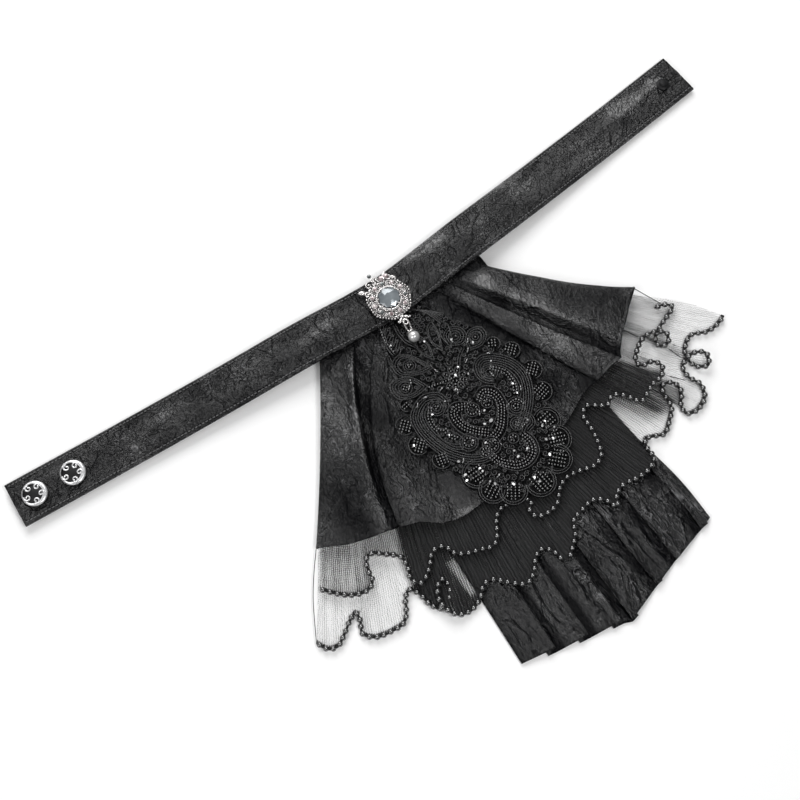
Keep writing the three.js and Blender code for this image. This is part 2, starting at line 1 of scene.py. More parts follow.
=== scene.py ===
# Black jabot collar lying flat: crinkled neck band, folded flounce over beaded net ruffles,
# pleated tail, corded and beaded applique, silver brooch with a pearl drop.
import bpy
import numpy as np
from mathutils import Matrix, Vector


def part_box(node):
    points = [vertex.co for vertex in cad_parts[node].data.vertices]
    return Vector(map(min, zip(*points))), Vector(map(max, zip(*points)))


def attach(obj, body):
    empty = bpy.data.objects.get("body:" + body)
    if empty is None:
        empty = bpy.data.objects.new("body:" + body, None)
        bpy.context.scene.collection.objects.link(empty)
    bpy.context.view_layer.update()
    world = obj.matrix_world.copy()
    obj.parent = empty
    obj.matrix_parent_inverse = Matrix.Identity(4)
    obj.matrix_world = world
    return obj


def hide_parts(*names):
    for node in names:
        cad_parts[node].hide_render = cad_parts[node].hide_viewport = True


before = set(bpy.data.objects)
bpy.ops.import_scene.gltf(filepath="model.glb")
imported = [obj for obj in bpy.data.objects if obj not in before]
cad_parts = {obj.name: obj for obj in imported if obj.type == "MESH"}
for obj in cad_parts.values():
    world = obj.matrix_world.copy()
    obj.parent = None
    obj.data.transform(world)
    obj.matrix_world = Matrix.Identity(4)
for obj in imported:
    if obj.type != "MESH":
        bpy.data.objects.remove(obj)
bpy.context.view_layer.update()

print("frame loaded with", len(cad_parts), "nodes")

# Shapes are worked out in the pattern's millimetres: x along the band, y towards the neck, z up.
# patternMiddle takes them to the frame's origin.
patternMiddle = np.array([5.9446, 88.8749, 0.0])

layers = {
    "headerY": -5.0,
    "middleX": 3.0,
    "lowerNetZ": 2.5,
    "layerStep": 1.45,
    "netThick": 1.0,
    "flounceThick": 1.2,
    "broochZ": 10.7,
    "strandLift": 1.7,
    "tailEdge": (58, 100),
}
waves = {"centreY": 35, "count": 18, "height": 1.1, "reach": (70, 130), "onTail": 0.15}
noiseTable = (97, 89)  # corners before the noise repeats


# Numbers and curves

def smooth(low, high, value):
    # 0 below low, 1 above high, 3t^2 - 2t^3 between
    t = np.clip((value - low) / (high - low), 0, 1)
    return t * t * (3 - 2 * t)


def lerp(a, b, t):
    return a + (b - a) * t


def bell(value, middle, width):
    # exp(-((value - middle) / width)^2)
    return np.exp(-((value - middle) / width) ** 2)


def unit(vectors):
    return vectors / np.maximum(np.linalg.norm(vectors, axis=-1, keepdims=True), 1e-9)


def noise(x, y, cell, seed):
    # gradient noise, about -1 to 1: each corner of a square grid tilts a random way, and the four
    # corners of a square are blended by 6t^5 - 15t^4 + 10t^3
    turn = np.random.default_rng(seed).uniform(0, 2 * np.pi, noiseTable)
    u, v = x / cell, y / cell
    i, j = np.floor(u).astype(int), np.floor(v).astype(int)
    s, t = u - i, v - j
    fadeS, fadeT = (k ** 3 * (k * (k * 6 - 15) + 10) for k in (s, t))
    total = 0
    for di, weightS in ((0, 1 - fadeS), (1, fadeS)):
        for dj, weightT in ((0, 1 - fadeT), (1, fadeT)):
            angle = turn[(i + di) % noiseTable[0], (j + dj) % noiseTable[1]]
            total = total + weightS * weightT * ((s - di) * np.cos(angle) + (t - dj) * np.sin(angle))
    return 1.5 * total


def creases(x, y, cell, seed):
    # sharp lines where warped noise n crosses zero: (1 - 1.6 |n|)^3, never below 0
    warpedX = x + 0.5 * cell * noise(x, y, 1.6 * cell, seed + 1)
    warpedY = y + 0.5 * cell * noise(x, y, 1.6 * cell, seed + 2)
    return np.clip(1 - np.abs(noise(warpedX, warpedY, cell, seed)) * 1.6, 0, 1) ** 3


def crinkle(x, y, seed):
    # long, middle and short creases and a soft swell, in millimetres
    patch = 0.5 + 0.5 * noise(x, y, 26, seed + 40)
    return (
        0.34 * creases(x, y, 17, seed)
        + 0.24 * patch * creases(x, y, 8, seed + 10)
        + 0.11 * patch * creases(x, y, 3.6, seed + 20)
        + 0.32 * noise(x, y, 14, seed + 30)
    )


def cubic(a, b, slopeA, slopeB, t):
    # from a at t = 0 to b at t = 1, leaving and arriving at the given slopes
    return (
        (2 * t ** 3 - 3 * t ** 2 + 1) * a + (t ** 3 - 2 * t ** 2 + t) * slopeA
        + (3 * t ** 2 - 2 * t ** 3) * b + (t ** 3 - t ** 2) * slopeB
    )


def quadratic(a, b, c, t):
    # the parabola that is a, b and c at t = 0, 0.5 and 1
    control = 2 * b - (a + c) / 2
    return (1 - t) ** 2 * a + 2 * t * (1 - t) * control + t ** 2 * c


def lengths(points):
    # distance along a line at each of its points
    return np.concatenate([[0], np.cumsum(np.linalg.norm(np.diff(points, axis=0), axis=1))])


def pointsAt(path, places):
    # the points of a path at given distances along it
    along = lengths(path)
    return np.stack([np.interp(places, along, column) for column in path.T], axis=1)


def curveThrough(knots, spacing):
    # cubics through the knots with slopes from each knot's neighbours, timed by the square root of
    # the chord, then points at even distances along them
    knots = np.asarray(knots, float)
    ends = np.vstack([2 * knots[0] - knots[1], knots, 2 * knots[-1] - knots[-2]])
    step = np.diff(ends, axis=0)
    time = np.sqrt(np.linalg.norm(step, axis=1))[:, None]
    slope = step[:-1] / time[:-1] - (ends[2:] - ends[:-2]) / (time[:-1] + time[1:]) + step[1:] / time[1:]
    t = np.linspace(0, 1, 24, endpoint=False)[None, :, None]
    span = time[1:-1, None]
    points = cubic(knots[:-1, None], knots[1:, None], span * slope[:-1, None], span * slope[1:, None], t)
    points = np.vstack([points.reshape(-1, knots.shape[1]), knots[-1:]])
    total = lengths(points)[-1]
    return pointsAt(points, np.linspace(0, total, max(int(round(total / spacing)), 2) + 1))


def tangents(path):
    return unit(np.gradient(path, axis=0))


def leftOf(path):
    # level directions to the left of a path, as long as its slope leaves them
    along = tangents(path)
    return np.stack([-along[:, 1], along[:, 0], 0 * along[:, 0]], 1)


def besides(path, distance):
    # a line at a distance to the left of a flat path
    return path + distance * leftOf(path)[:, :2]


def raised(path, z):
    # a flat line at a height, or at a height for each point
    return np.column_stack([path, np.broadcast_to(z, len(path))])


def around(centre, radius, angle, z):
    # points round a centre at a height
    out = np.stack([np.cos(angle), np.sin(angle)], axis=1)
    return raised(centre + np.reshape(radius, (-1, 1)) * out, z)


def ellipse(centre, across, up, start=0, end=360, turn=0, spacing=0.8):
    # part of an ellipse: centre + (across cos a, up sin a), turned, from start to end degrees
    count = max(int(np.hypot(across, up) * np.radians(abs(end - start)) / 1.4 / spacing), 6)
    angle = np.radians(np.linspace(start, end, count + 1))
    x, y = across * np.cos(angle), up * np.sin(angle)
    c, s = np.cos(np.radians(turn)), np.sin(np.radians(turn))
    return np.stack([centre[0] + c * x - s * y, centre[1] + s * x + c * y], axis=1)


def spiral(centre, outer, inner, turns, start, spacing):
    # radius falls evenly from outer to inner while the angle turns
    t = np.linspace(0, 1, int(abs(turns) * np.pi * (outer + inner) / spacing) + 1)
    angle = np.radians(start) + turns * 2 * np.pi * t
    return around(centre, lerp(outer, inner, t), angle, 0)[:, :2]


# Shapes: points in millimetres, faces, and a uv for each face corner

def gridShape(points, wrapRows=False, wrapColumns=False, uvScale=(1, 1)):
    # quads between neighbouring points of a grid of rows and columns
    rows, columns = points.shape[:2]
    i = np.arange(rows if wrapRows else rows - 1)[:, None]
    j = np.arange(columns if wrapColumns else columns - 1)[None, :]
    i2, j2 = (i + 1) % rows, (j + 1) % columns
    corners = (i * columns + j, i * columns + j2, i2 * columns + j2, i2 * columns + j)
    faces = np.stack(np.broadcast_arrays(*corners), -1).reshape(-1, 4)
    u, v = i + 0.0 * j, j + 0.0 * i
    uv = np.stack([np.stack([u, u, u + 1, u + 1], -1), np.stack([v, v + 1, v + 1, v], -1)], -1)
    return {"points": points.reshape(-1, 3), "faces": [faces], "uv": [uv.reshape(-1, 4, 2) * uvScale]}


def closeEnds(shape, sides, ends):
    # a fan of triangles from the first and from the last ring to an end point each
    count, k = len(shape["points"]), np.arange(sides)
    start = count - sides
    caps = np.vstack([
        np.stack([(k + 1) % sides, k, np.full(sides, count)], 1),
        np.stack([start + k, start + (k + 1) % sides, np.full(sides, count + 1)], 1),
    ])
    shape["points"] = np.vstack([shape["points"], ends])
    shape["faces"].append(caps)
    shape["uv"].append(np.zeros((2 * sides, 3, 2)))


def coverEnds(shape, sides):
    # one flat face over the first ring and one over the last
    ring = np.arange(sides)[None]
    shape["faces"] += [ring[:, ::-1], len(shape["points"]) - sides + ring]
    shape["uv"] += [np.zeros((1, sides, 2))] * 2


def tube(path, radius, sides=6, closed=False, pitch=1.0):
    # a round profile carried along a path: point + r (cos a * side + sin a * upward)
    path = np.asarray(path, float)
    if closed:
        path = path[:-1]
        along = unit(np.roll(path, -1, axis=0) - np.roll(path, 1, axis=0))
    else:
        along = tangents(path)
    side = unit(np.cross(along, [0, 0, 1.0]))
    upward = np.cross(side, along)
    angle = np.linspace(0, 2 * np.pi, sides, endpoint=False)[None, :, None]
    radius = np.broadcast_to(radius, len(path))[:, None, None]
    points = path[:, None] + radius * (side[:, None] * np.cos(angle) + upward[:, None] * np.sin(angle))
    step = lengths(path)[-1] / (len(path) - 1)
    shape = gridShape(points, wrapRows=closed, wrapColumns=True, uvScale=(step / pitch, 1 / sides))
    if not closed:
        closeEnds(shape, sides, [path[0], path[-1]])
    return shape


def turned(profile, centre, sides):
    # a profile of (radius, height) turned round an upright axis, poles closed to one point each
    profile = np.asarray(profile, float)
    poles = profile[0, 0] < 1e-6
    body = profile[1:-1] if poles else profile
    angle = np.linspace(0, 2 * np.pi, sides, endpoint=False)
    flat = body[:, None, :1] * np.stack([np.cos(angle), np.sin(angle)], axis=1)
    height = np.broadcast_to(body[:, None, 1:], (len(body), sides, 1))
    shape = gridShape(np.concatenate([flat, height], axis=2), wrapColumns=True, uvScale=(1, 1 / sides))
    if poles:
        closeEnds(shape, sides, [(0, 0, profile[0, 1]), (0, 0, profile[-1, 1])])
    shape["faces"] = [faces[:, ::-1] for faces in shape["faces"]]
    shape["points"] = shape["points"] + [*centre, 0]
    return shape


def ball(sides, rings):
    # unit sphere from pole to pole, as a turned half circle
    angle = np.linspace(np.pi / 2, -np.pi / 2, rings + 2)
    return turned(np.stack([np.abs(np.cos(angle)).round(9), np.sin(angle)], 1), (0, 0), sides)


def copies(shape, centres, sizes, turns=None):
    # one copy of a shape at each centre, with its size and its turn about z in radians
    centres = np.asarray(centres, float)
    count = len(centres)
    points = shape["points"] * np.atleast_2d(sizes)[:, None] * np.ones((count, 1, 1))
    if turns is not None:
        x, y, z = np.moveaxis(points, 2, 0)
        c, s = np.cos(turns)[:, None], np.sin(turns)[:, None]
        points = np.stack([c * x - s * y, s * x + c * y, z], -1)
    points = points + centres[:, None]
    shift = (np.arange(count) * len(shape["points"]))[:, None, None]
    faces = [(f[None] + shift).reshape(-1, f.shape[1]) for f in shape["faces"]]
    uv = [np.tile(u, (count, 1, 1)) for u in shape["uv"]]
    return {"points": points.reshape(-1, 3), "faces": faces, "uv": uv}


def facing(shape, centres, sizes, seed):
    # one copy at each centre, its z axis turned to the direction half way between the camera and one
    # of the lamps, give or take a few degrees, so that its flat table glints
    wander = np.random.default_rng(seed)
    lamps = np.array([lamp["at"] for lamp in studio["lights"]], float)
    chosen = lamps[wander.integers(0, len(lamps), len(centres))]
    halfWay = unit(unit(chosen - centres) + unit(np.array(studio["eye"]) - centres))
    axis = unit(halfWay + wander.normal(0, 0.05, centres.shape))
    side = unit(np.cross(axis, wander.normal(size=centres.shape)))
    turns = np.stack([side, np.cross(axis, side), axis], 2)
    made = copies(shape, 0 * centres, sizes)
    points = made["points"].reshape(len(centres), -1, 3)
    made["points"] = (np.einsum("kij,kpj->kpi", turns, points) + centres[:, None]).reshape(-1, 3)
    return made


def makePiece(name, shapes, look, replaced=(), flat=False, values=None):
    # joins shapes into one mesh, in metres on the frame, and lets it ride on the collar
    shifts = np.cumsum([0] + [len(shape["points"]) for shape in shapes])
    rows = [faces + shift for shape, shift in zip(shapes, shifts) for faces in shape["faces"]]
    uvs = [uv.reshape(-1, 2) for shape in shapes for uv in shape["uv"]]
    points = (np.concatenate([shape["points"] for shape in shapes]) + patternMiddle) / 1000
    corners = np.concatenate([faces.ravel() for faces in rows])
    sizes = np.concatenate([np.full(len(faces), faces.shape[1]) for faces in rows])
    mesh = bpy.data.meshes.new(name)
    mesh.vertices.add(len(points))
    mesh.vertices.foreach_set("co", points.astype(np.float32).ravel())
    mesh.loops.add(len(corners))
    mesh.loops.foreach_set("vertex_index", corners.astype(np.int32))
    mesh.polygons.add(len(sizes))
    mesh.polygons.foreach_set("loop_start", (np.cumsum(sizes) - sizes).astype(np.int32))
    mesh.polygons.foreach_set("use_smooth", np.full(len(sizes), not flat))
    mesh.update(calc_edges=True)
    uvLayer = mesh.uv_layers.new(name="cloth")
    uvLayer.data.foreach_set("uv", np.concatenate(uvs).astype(np.float32).ravel())
    for key, array in (values or {}).items():
        attribute = mesh.attributes.new(key, "FLOAT", "POINT")
        attribute.data.foreach_set("value", np.asarray(array, np.float32).ravel())
    piece = bpy.data.objects.new(name, mesh)
    bpy.context.scene.collection.objects.link(piece)
    mesh.materials.append(materials[look])
    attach(piece, "root")
    if replaced:
        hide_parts(*replaced)
    return piece


def giveThickness(piece, millimetres):
    wall = piece.modifiers.new("cloth thickness", "SOLIDIFY")
    wall.thickness, wall.offset = millimetres / 1000, -1


# Materials

def setInputs(tree, node, inputs):
    # each input is linked to a socket or holds a fixed value
    for key, value in inputs.items():
        if isinstance(value, bpy.types.NodeSocket):
            tree.links.new(value, node.inputs[key])
        else:
            node.inputs[key].default_value = value


def addNode(tree, kind, inputs, **settings):
    made = tree.nodes.new("ShaderNode" + kind)
    for key, value in settings.items():
        setattr(made, key, value)
    setInputs(tree, made, inputs)
    return made


def newMaterial(name):
    # a material, its node tree and the places on the piece that its textures use
    material = bpy.data.materials.new(name)
    material.use_nodes = True
    return material, material.node_tree, addNode(material.node_tree, "TexCoord", {}).outputs


def surface(material, inputs):
    tree = material.node_tree
    setInputs(tree, tree.nodes["Principled BSDF"], inputs)
    return material


def noiseValue(tree, place, scale, detail=2.0, roughness=0.5, distortion=0.0, output=0):
    return addNode(tree, "TexNoise", {
        "Vector": place, "Scale": scale, "Detail": detail, "Roughness": roughness, "Distortion": distortion,
    }).outputs[output]


def attributeValue(tree, key):
    return addNode(tree, "Attribute", {}, attribute_name=key).outputs["Fac"]


def maths(tree, operation, a, b=0.0, c=0.0):
    return addNode(tree, "Math", {0: a, 1: b, 2: c}, operation=operation).outputs[0]


def vectorMaths(tree, operation, a, b):
    return addNode(tree, "VectorMath", {0: a, 1: b}, operation=operation).outputs[0]


def rampValue(tree, value, low, high, toLow, toHigh):
    inputs = {"Value": value, "From Min": low, "From Max": high, "To Min": toLow, "To Max": toHigh}
    return addNode(tree, "MapRange", inputs).outputs["Result"]


def blendColours(tree, factor, a, b):
    inputs = {"Factor": factor, "A": (*a, 1), "B": (*b, 1)}
    return addNode(tree, "Mix", inputs, data_type="RGBA").outputs["Result"]


def clouded(tree, value, low, high, a, b):
    # from colour a where the value is low to colour b where it is high
    return blendColours(tree, rampValue(tree, value, low, high, 0.0, 1.0), a, b)


def bumpNormal(tree, height, distance, strength=1.0):
    return addNode(tree, "Bump", {"Strength": strength, "Distance": distance, "Height": height}).outputs[0]


def creaseHeight(tree, place, scale, sharp):
    # a net of creases where smooth noise n crosses its middle: max(0, 1 - sharp |n - 0.5|)
    value = noiseValue(tree, place, scale, 1.5, distortion=0.6)
    away = maths(tree, "ABSOLUTE", maths(tree, "SUBTRACT", value, 0.5))
    return maths(tree, "MAXIMUM", maths(tree, "MULTIPLY_ADD", away, -sharp, 1.0), 0.0)


def coatedCloth(name, look):
    # crushed coated cloth: creases of three sizes and a fine grain in the bump, drawn out along the
    # fall of the cloth, a dull ground with soft patches where the coating is polished, brighter
    # streaks on them, and painted highlights: crease edges and grain specks painted lighter,
    # more so where the cloth is polished
    material, tree, where = newMaterial(name)
    drift = noiseValue(tree, where["Object"], 70.0, output="Color")
    bent = vectorMaths(tree, "MULTIPLY", drift, (look["bend"],) * 3)
    fall = vectorMaths(tree, "MULTIPLY", vectorMaths(tree, "ADD", where["Object"], bent), look["stretch"])
    patches = noiseValue(tree, fall, look["patchScale"], 4.0, 0.6)
    crushed = rampValue(tree, patches, 0.38, 0.62, 0.3, 1.0)
    height, lines = 0.0, 0.0
    for scale, share, sharp in look["creases"]:
        crease = maths(tree, "MULTIPLY", creaseHeight(tree, fall, scale, sharp), crushed)
        lines = maths(tree, "MAXIMUM", crease, lines)
        height = maths(tree, "MULTIPLY_ADD", crease, share, height)
    grain = noiseValue(tree, where["Object"], look["grainScale"], 3.0, 0.7)
    bump = bumpNormal(tree, maths(tree, "MULTIPLY_ADD", grain, look["grain"], height), look["relief"])
    shown = maths(tree, "MULTIPLY_ADD", attributeValue(tree, "shine"), look["shineShift"], patches)
    speckled = maths(tree, "MULTIPLY_ADD", grain, look["speckle"], shown)
    polish = rampValue(tree, speckled, *look["patch"], 0.0, 1.0)
    glow = rampValue(tree, speckled, *look["glow"], 0.0, 1.0)
    rough = rampValue(tree, polish, 0.0, 1.0, *look["rough"])
    level = rampValue(tree, polish, 0.0, 1.0, *look["specular"])
    # painted highlight: lighter colour on the crease edges and on specks of the grain, stronger where
    # polished
    highlightSpecks = rampValue(tree, grain, 0.5, 0.68, 0.0, look["highlightSpecks"])
    paintedHighlight = maths(tree, "MAXIMUM", rampValue(tree, lines, 0.7, 1.0, 0.0, 1.0), highlightSpecks)
    paintedHighlight = maths(tree, "MULTIPLY", paintedHighlight, rampValue(tree, polish, 0.1, 0.8, 0.2, 1.0))
    return surface(material, {
        "Base Color": blendColours(tree, paintedHighlight, look["colour"], look["paintedHighlight"]),
        "Roughness": maths(tree, "MULTIPLY_ADD", glow, look["glowRough"], rough),
        "Specular IOR Level": maths(tree, "MULTIPLY_ADD", glow, look["glowSpecular"], level),
        "Normal": bump,
        "Coat Normal": bump,
        "Coat Weight": look["coat"],
        "Coat Roughness": look["coatRough"],
    })


def beadBlack(name, colour, roughness, index):
    # polished black bead with faint dust in its roughness
    material, tree, where = newMaterial(name)
    dust = noiseValue(tree, where["Object"], 900.0, 3.0)
    return surface(material, {
        "Base Color": blendColours(tree, dust, colour, [c * 1.8 for c in colour]),
        "Roughness": rampValue(tree, dust, 0.3, 0.7, roughness, roughness * 2.0),
        "IOR": index,
    })


def twistedCord(name, look):
    # satin cord: diagonal turns |sin 2 pi (u + v)| of the twist in the bump, from the cord's own uv; the
    # grooves between the turns are painted darker, a painted shade
    material, tree, where = newMaterial(name)
    uv = addNode(tree, "SeparateXYZ", {0: where["UV"]}).outputs
    phase = maths(tree, "MULTIPLY", maths(tree, "ADD", uv[0], uv[1]), 2 * np.pi)
    turns = maths(tree, "ABSOLUTE", maths(tree, "SINE", phase))
    lint = noiseValue(tree, where["Object"], 700.0, 3.0)
    return surface(material, {
        # painted shade: the colour darkens to groove between the turns of the twist
        "Base Color": blendColours(tree, turns, look["groove"], look["colour"]),
        "Roughness": rampValue(tree, lint, 0.3, 0.7, *look["rough"]),
        "Specular IOR Level": look["specular"],
        "Sheen Weight": look["sheen"],
        "Sheen Roughness": 0.4,
        "Normal": bumpNormal(tree, turns, 0.0002, look["bump"]),
    })


def stitchedGround(name, look):
    # ground closely stitched over with fine cord: ridges follow the level lines of smooth noise n,
    # height |sin(turns n)|, broken by the stitches' own grain; the grooves between the ridges are painted
    # darker, a painted shade
    material, tree, where = newMaterial(name)
    level = noiseValue(tree, where["Object"], look["scale"], 0.0)
    phase = maths(tree, "MULTIPLY", level, look["turns"] * np.pi)
    ridge = maths(tree, "ABSOLUTE", maths(tree, "SINE", phase))
    grain = noiseValue(tree, where["Object"], 1500.0)
    stitched = rampValue(tree, grain, 0.35, 0.6, 0.3, 1.0)
    shown = maths(tree, "MULTIPLY", rampValue(tree, ridge, 0.3, 0.9, 0.0, 1.0), stitched)
    return surface(material, {
        # partly the stitches' own grain, partly painted shade: darker colour in the grooves between the
        # stitched ridges
        "Base Color": blendColours(tree, shown, look["groove"], look["colour"]),
        "Roughness": 0.42,
        "Specular IOR Level": rampValue(tree, shown, 0.0, 1.0, 0.01, 0.16),
        "Normal": bumpNormal(tree, maths(tree, "MULTIPLY_ADD", grain, 0.6, ridge), 0.0004),
    })


def netCloth(name, look):
    # net: ribs along the folds and zigzag threads across them, from a uv in millimetres. weave, from
    # 0 to 1, is how closely the net is gathered there, which widens the threads and raises the ribs.
    material, tree, where = newMaterial(name)
    uv = addNode(tree, "SeparateXYZ", {0: where["UV"]}).outputs
    streak = noiseValue(tree, vectorMaths(tree, "MULTIPLY", where["UV"], (0.35, 0.03, 1.0)), 1.0, 4.0, 0.6)
    bentU = maths(tree, "MULTIPLY_ADD", noiseValue(tree, where["UV"], 0.22, 3.0), 1.6, uv[0])
    lineA = maths(tree, "PINGPONG", maths(tree, "DIVIDE", bentU, look["pitchAcross"]), 0.5)
    along = maths(tree, "ADD", lineA, maths(tree, "DIVIDE", uv[1], look["pitchAlong"]))
    lineB = maths(tree, "PINGPONG", along, 0.5)
    width = rampValue(tree, attributeValue(tree, "weave"), 0.0, 1.0, look["open"], look["dense"])
    width = maths(tree, "MULTIPLY", width, rampValue(tree, streak, 0.3, 0.7, 0.55, 1.6))
    threadA = maths(tree, "LESS_THAN", lineA, width)
    threadB = maths(tree, "LESS_THAN", lineB, maths(tree, "MULTIPLY", width, look["crossShare"]))
    ribs = maths(tree, "PINGPONG", maths(tree, "DIVIDE", bentU, look["ribPitch"]), 0.5)
    crossed = rampValue(tree, lineB, 0.1, 0.4, 2.4, 0.3)
    # painted highlight: the rib crests are painted lighter, most between the crossings
    paintedRibHighlight = maths(tree, "MULTIPLY", maths(tree, "MULTIPLY", ribs, streak), crossed)
    height = maths(tree, "ADD", maths(tree, "MULTIPLY", ribs, 1.6), maths(tree, "MULTIPLY", lineB, 0.5))
    return surface(material, {
        "Base Color": blendColours(tree, paintedRibHighlight, look["colour"], look["light"]),
        "Roughness": 0.5,
        "Specular IOR Level": 0.3,
        "Alpha": maths(tree, "MAXIMUM", threadA, threadB),
        "Normal": bumpNormal(tree, height, 0.0006, 0.8),
    })


def castMetal(name, look):
    # cast silver-coloured metal: bright where worn, darker in fine pits
    material, tree, where = newMaterial(name)
    pits = noiseValue(tree, where["Object"], look["scale"], 5.0, 0.65)
    return surface(material, {
        "Base Color": clouded(tree, pits, 0.38, 0.52, look["dark"], look["bright"]),
        "Roughness": rampValue(tree, pits, 0.35, 0.6, *look["rough"]),
        "Metallic": look["metal"],
        "Normal": bumpNormal(tree, pits, 0.0002, look["bump"]),
    })


def cutStone(name, look):
    # facetted stone over a dull foil: a cloudy colour under a hard clear surface
    material, tree, where = newMaterial(name)
    cloud = noiseValue(tree, where["Object"], look["scale"])
    return surface(material, {
        "Base Color": clouded(tree, cloud, 0.35, 0.65, look["dark"], look["light"]),
        "Roughness": rampValue(tree, cloud, 0.3, 0.7, 0.02, 0.08),
        "IOR": 1.6,
        "Metallic": look["foil"],
        "Coat Weight": 1.0,
        "Coat Roughness": 0.02,
    })


def pearlLustre(name, dark, light):
    # grey-white pearl: soft bands of tint under a clear nacre
    material, tree, where = newMaterial(name)
    bands = noiseValue(tree, where["Object"], 260.0, 3.0)
    return surface(material, {
        "Base Color": clouded(tree, bands, 0.35, 0.65, dark, light),
        "Roughness": rampValue(tree, bands, 0.3, 0.7, 0.2, 0.32),
        "Metallic": 0.55,
        "Coat Weight": 0.8,
        "Coat Roughness": 0.06,
    })


clothLook = {
    "bend": 0.004,
    "stretch": (1.0, 1.0, 1.0),
    "creases": [(55.0, 0.8, 30.0), (150.0, 0.6, 22.0), (400.0, 0.4, 12.0)],  # scale, share, sharpness
    "grain": 0.8,
    "grainScale": 700.0,
    "speckle": 0.4,
    "relief": 0.0008,
    "patchScale": 60.0,
    "patch": (0.66, 1.65),
    "shineShift": 0.95,
    "rough": (0.26, 0.18),
    "specular": (0.02, 0.68),
    "colour": (0.0022, 0.0022, 0.0028),
    # the colour of the painted highlight on crease edges and grain specks, and how much the specks get
    "paintedHighlight": (0.13, 0.13, 0.134),
    "highlightSpecks": 0.08,
    "coat": 0.12,
    "coatRough": 0.12,
    "glow": (1.55, 2.1),
    "glowRough": 0.25,
    "glowSpecular": 1.3,
}
tailLook = {
    "stretch": (1.0, 0.34, 1.0),
    "relief": 0.0009,
    "creases": [(60.0, 1.0, 30.0), (140.0, 0.6, 22.0), (340.0, 0.3, 14.0)],
    "grain": 0.5,
}
# groove is the darker colour painted between the turns of a cord, a painted shade
cordLooks = {
    "stitch": {
        "name": "stitch thread",
        "bump": 0.4, "groove": (0.07, 0.07, 0.072), "colour": (0.24, 0.24, 0.245), "rough": (0.3, 0.5),
        "specular": 0.8, "sheen": 0.1,
    },
    "enamel": {
        "name": "black enamel",
        "bump": 0.0, "groove": (0.008, 0.008, 0.009), "colour": (0.008, 0.008, 0.009), "rough": (0.4, 0.6),
        "specular": 0.25, "sheen": 0.0,
    },
    "cord": {
        "name": "black cord",
        "bump": 0.7, "groove": (0.0015, 0.0015, 0.0018), "colour": (0.009, 0.009, 0.01), "rough": (0.2, 0.32),
        "specular": 0.8, "sheen": 0.0,
    },
    "thread": {
        "name": "black thread",
        "bump": 0.5, "groove": (0.003, 0.003, 0.0035), "colour": (0.008, 0.008, 0.009), "rough": (0.4, 0.6),
        "specular": 0.3, "sheen": 0.0,
    },
}
metalLooks = {
    "snapSilver": {
        "name": "snap silver",
        "scale": 900.0, "dark": (0.5, 0.5, 0.51), "bright": (0.92, 0.92, 0.93), "rough": (0.4, 0.2),
        "bump": 0.15, "metal": 0.6,
    },
    "silver": {
        "name": "brooch silver",
        "scale": 1300.0, "dark": (0.2, 0.19, 0.19), "bright": (0.9, 0.88, 0.87), "rough": (0.3, 0.12),
        "bump": 0.3, "metal": 0.8,
    },
    "oxidised": {
        "name": "oxidised silver",
        "scale": 900.0, "dark": (0.004, 0.004, 0.004), "bright": (0.02, 0.02, 0.02), "rough": (0.6, 0.4),
        "bump": 0.3, "metal": 0.5,
    },
}
stoneLooks = {
    "stone": {
        "name": "grey stone",
        "scale": 120.0, "dark": (0.13, 0.15, 0.165), "light": (0.27, 0.3, 0.32), "foil": 0.25,
    },
    "blush": {
        "name": "clear rhinestone",
        "scale": 700.0, "dark": (0.28, 0.2, 0.21), "light": (0.85, 0.78, 0.78), "foil": 0.45,
    },
    "smoke": {
        "name": "smoky rhinestone",
        "scale": 500.0, "dark": (0.05, 0.055, 0.055), "light": (0.22, 0.24, 0.24), "foil": 0.45,
    },
}
netLook = {
    "pitchAcross": 1.2, "pitchAlong": 1.5, "ribPitch": 1.7, "open": 0.045, "dense": 0.42, "crossShare": 0.8,
    # light is the colour of the painted highlight on the rib crests
    "colour": (0.0018, 0.0018, 0.0022), "light": (0.035, 0.035, 0.036),
}
groundLook = {
    # groove is the darker colour painted between the stitched ridges, a painted shade
    "scale": 200.0, "turns": 9.0, "groove": (0.0012, 0.0012, 0.0014), "colour": (0.006, 0.006, 0.0064),
}
materials = {
    "band": coatedCloth("band cloth", clothLook),
    "flounce": coatedCloth("flounce cloth", {**clothLook, "stretch": (1.0, 0.6, 1.0)}),
    "tail": coatedCloth("tail cloth", {**clothLook, **tailLook}),
    "bead": beadBlack("bead black", (0.004, 0.004, 0.0045), 0.08, 2.6),
    "seed": beadBlack("seed bead black", (0.004, 0.004, 0.0045), 0.1, 2.4),
    "net": netCloth("black net", netLook),
    "backing": stitchedGround("stitched ground", groundLook),
    "pearl": pearlLustre("grey pearl", (0.5, 0.51, 0.52), (0.85, 0.84, 0.83)),
    **{key: twistedCord(look["name"], look) for key, look in cordLooks.items()},
    **{key: castMetal(look["name"], look) for key, look in metalLooks.items()},
    **{key: cutStone(look["name"], look) for key, look in stoneLooks.items()},
}
print("materials made:", len(materials))


# Camera, lights and floor

studio = {
    "eye": (-170.8, -252.8, 768.5),
    "lookAt": (-26.83, -48.77, 0.0),
    "lens": 72.0,
    "sensor": 36.0,
    "floorSize": 6.0,
    "floorZ": -0.0003,
    "floorLook": {"Base Color": (0.97, 0.97, 0.97, 1), "Roughness": 0.9, "Specular IOR Level": 0.1},
    "worldStrength": 0.145,
    "lampsLookAt": (0, -60, 0),
    "lights": [
        {"name": "key", "at": (70, -480, 950), "size": 0.3, "watts": 3.8},
        {"name": "north box", "at": (230, 760, 780), "size": 0.9, "watts": 10.9},
        {"name": "west fill", "at": (-950, -150, 800), "size": 0.8, "watts": 5.2},
    ],
}


def toMetres(point):
    return Vector((np.asarray(point, float) + patternMiddle) / 1000)


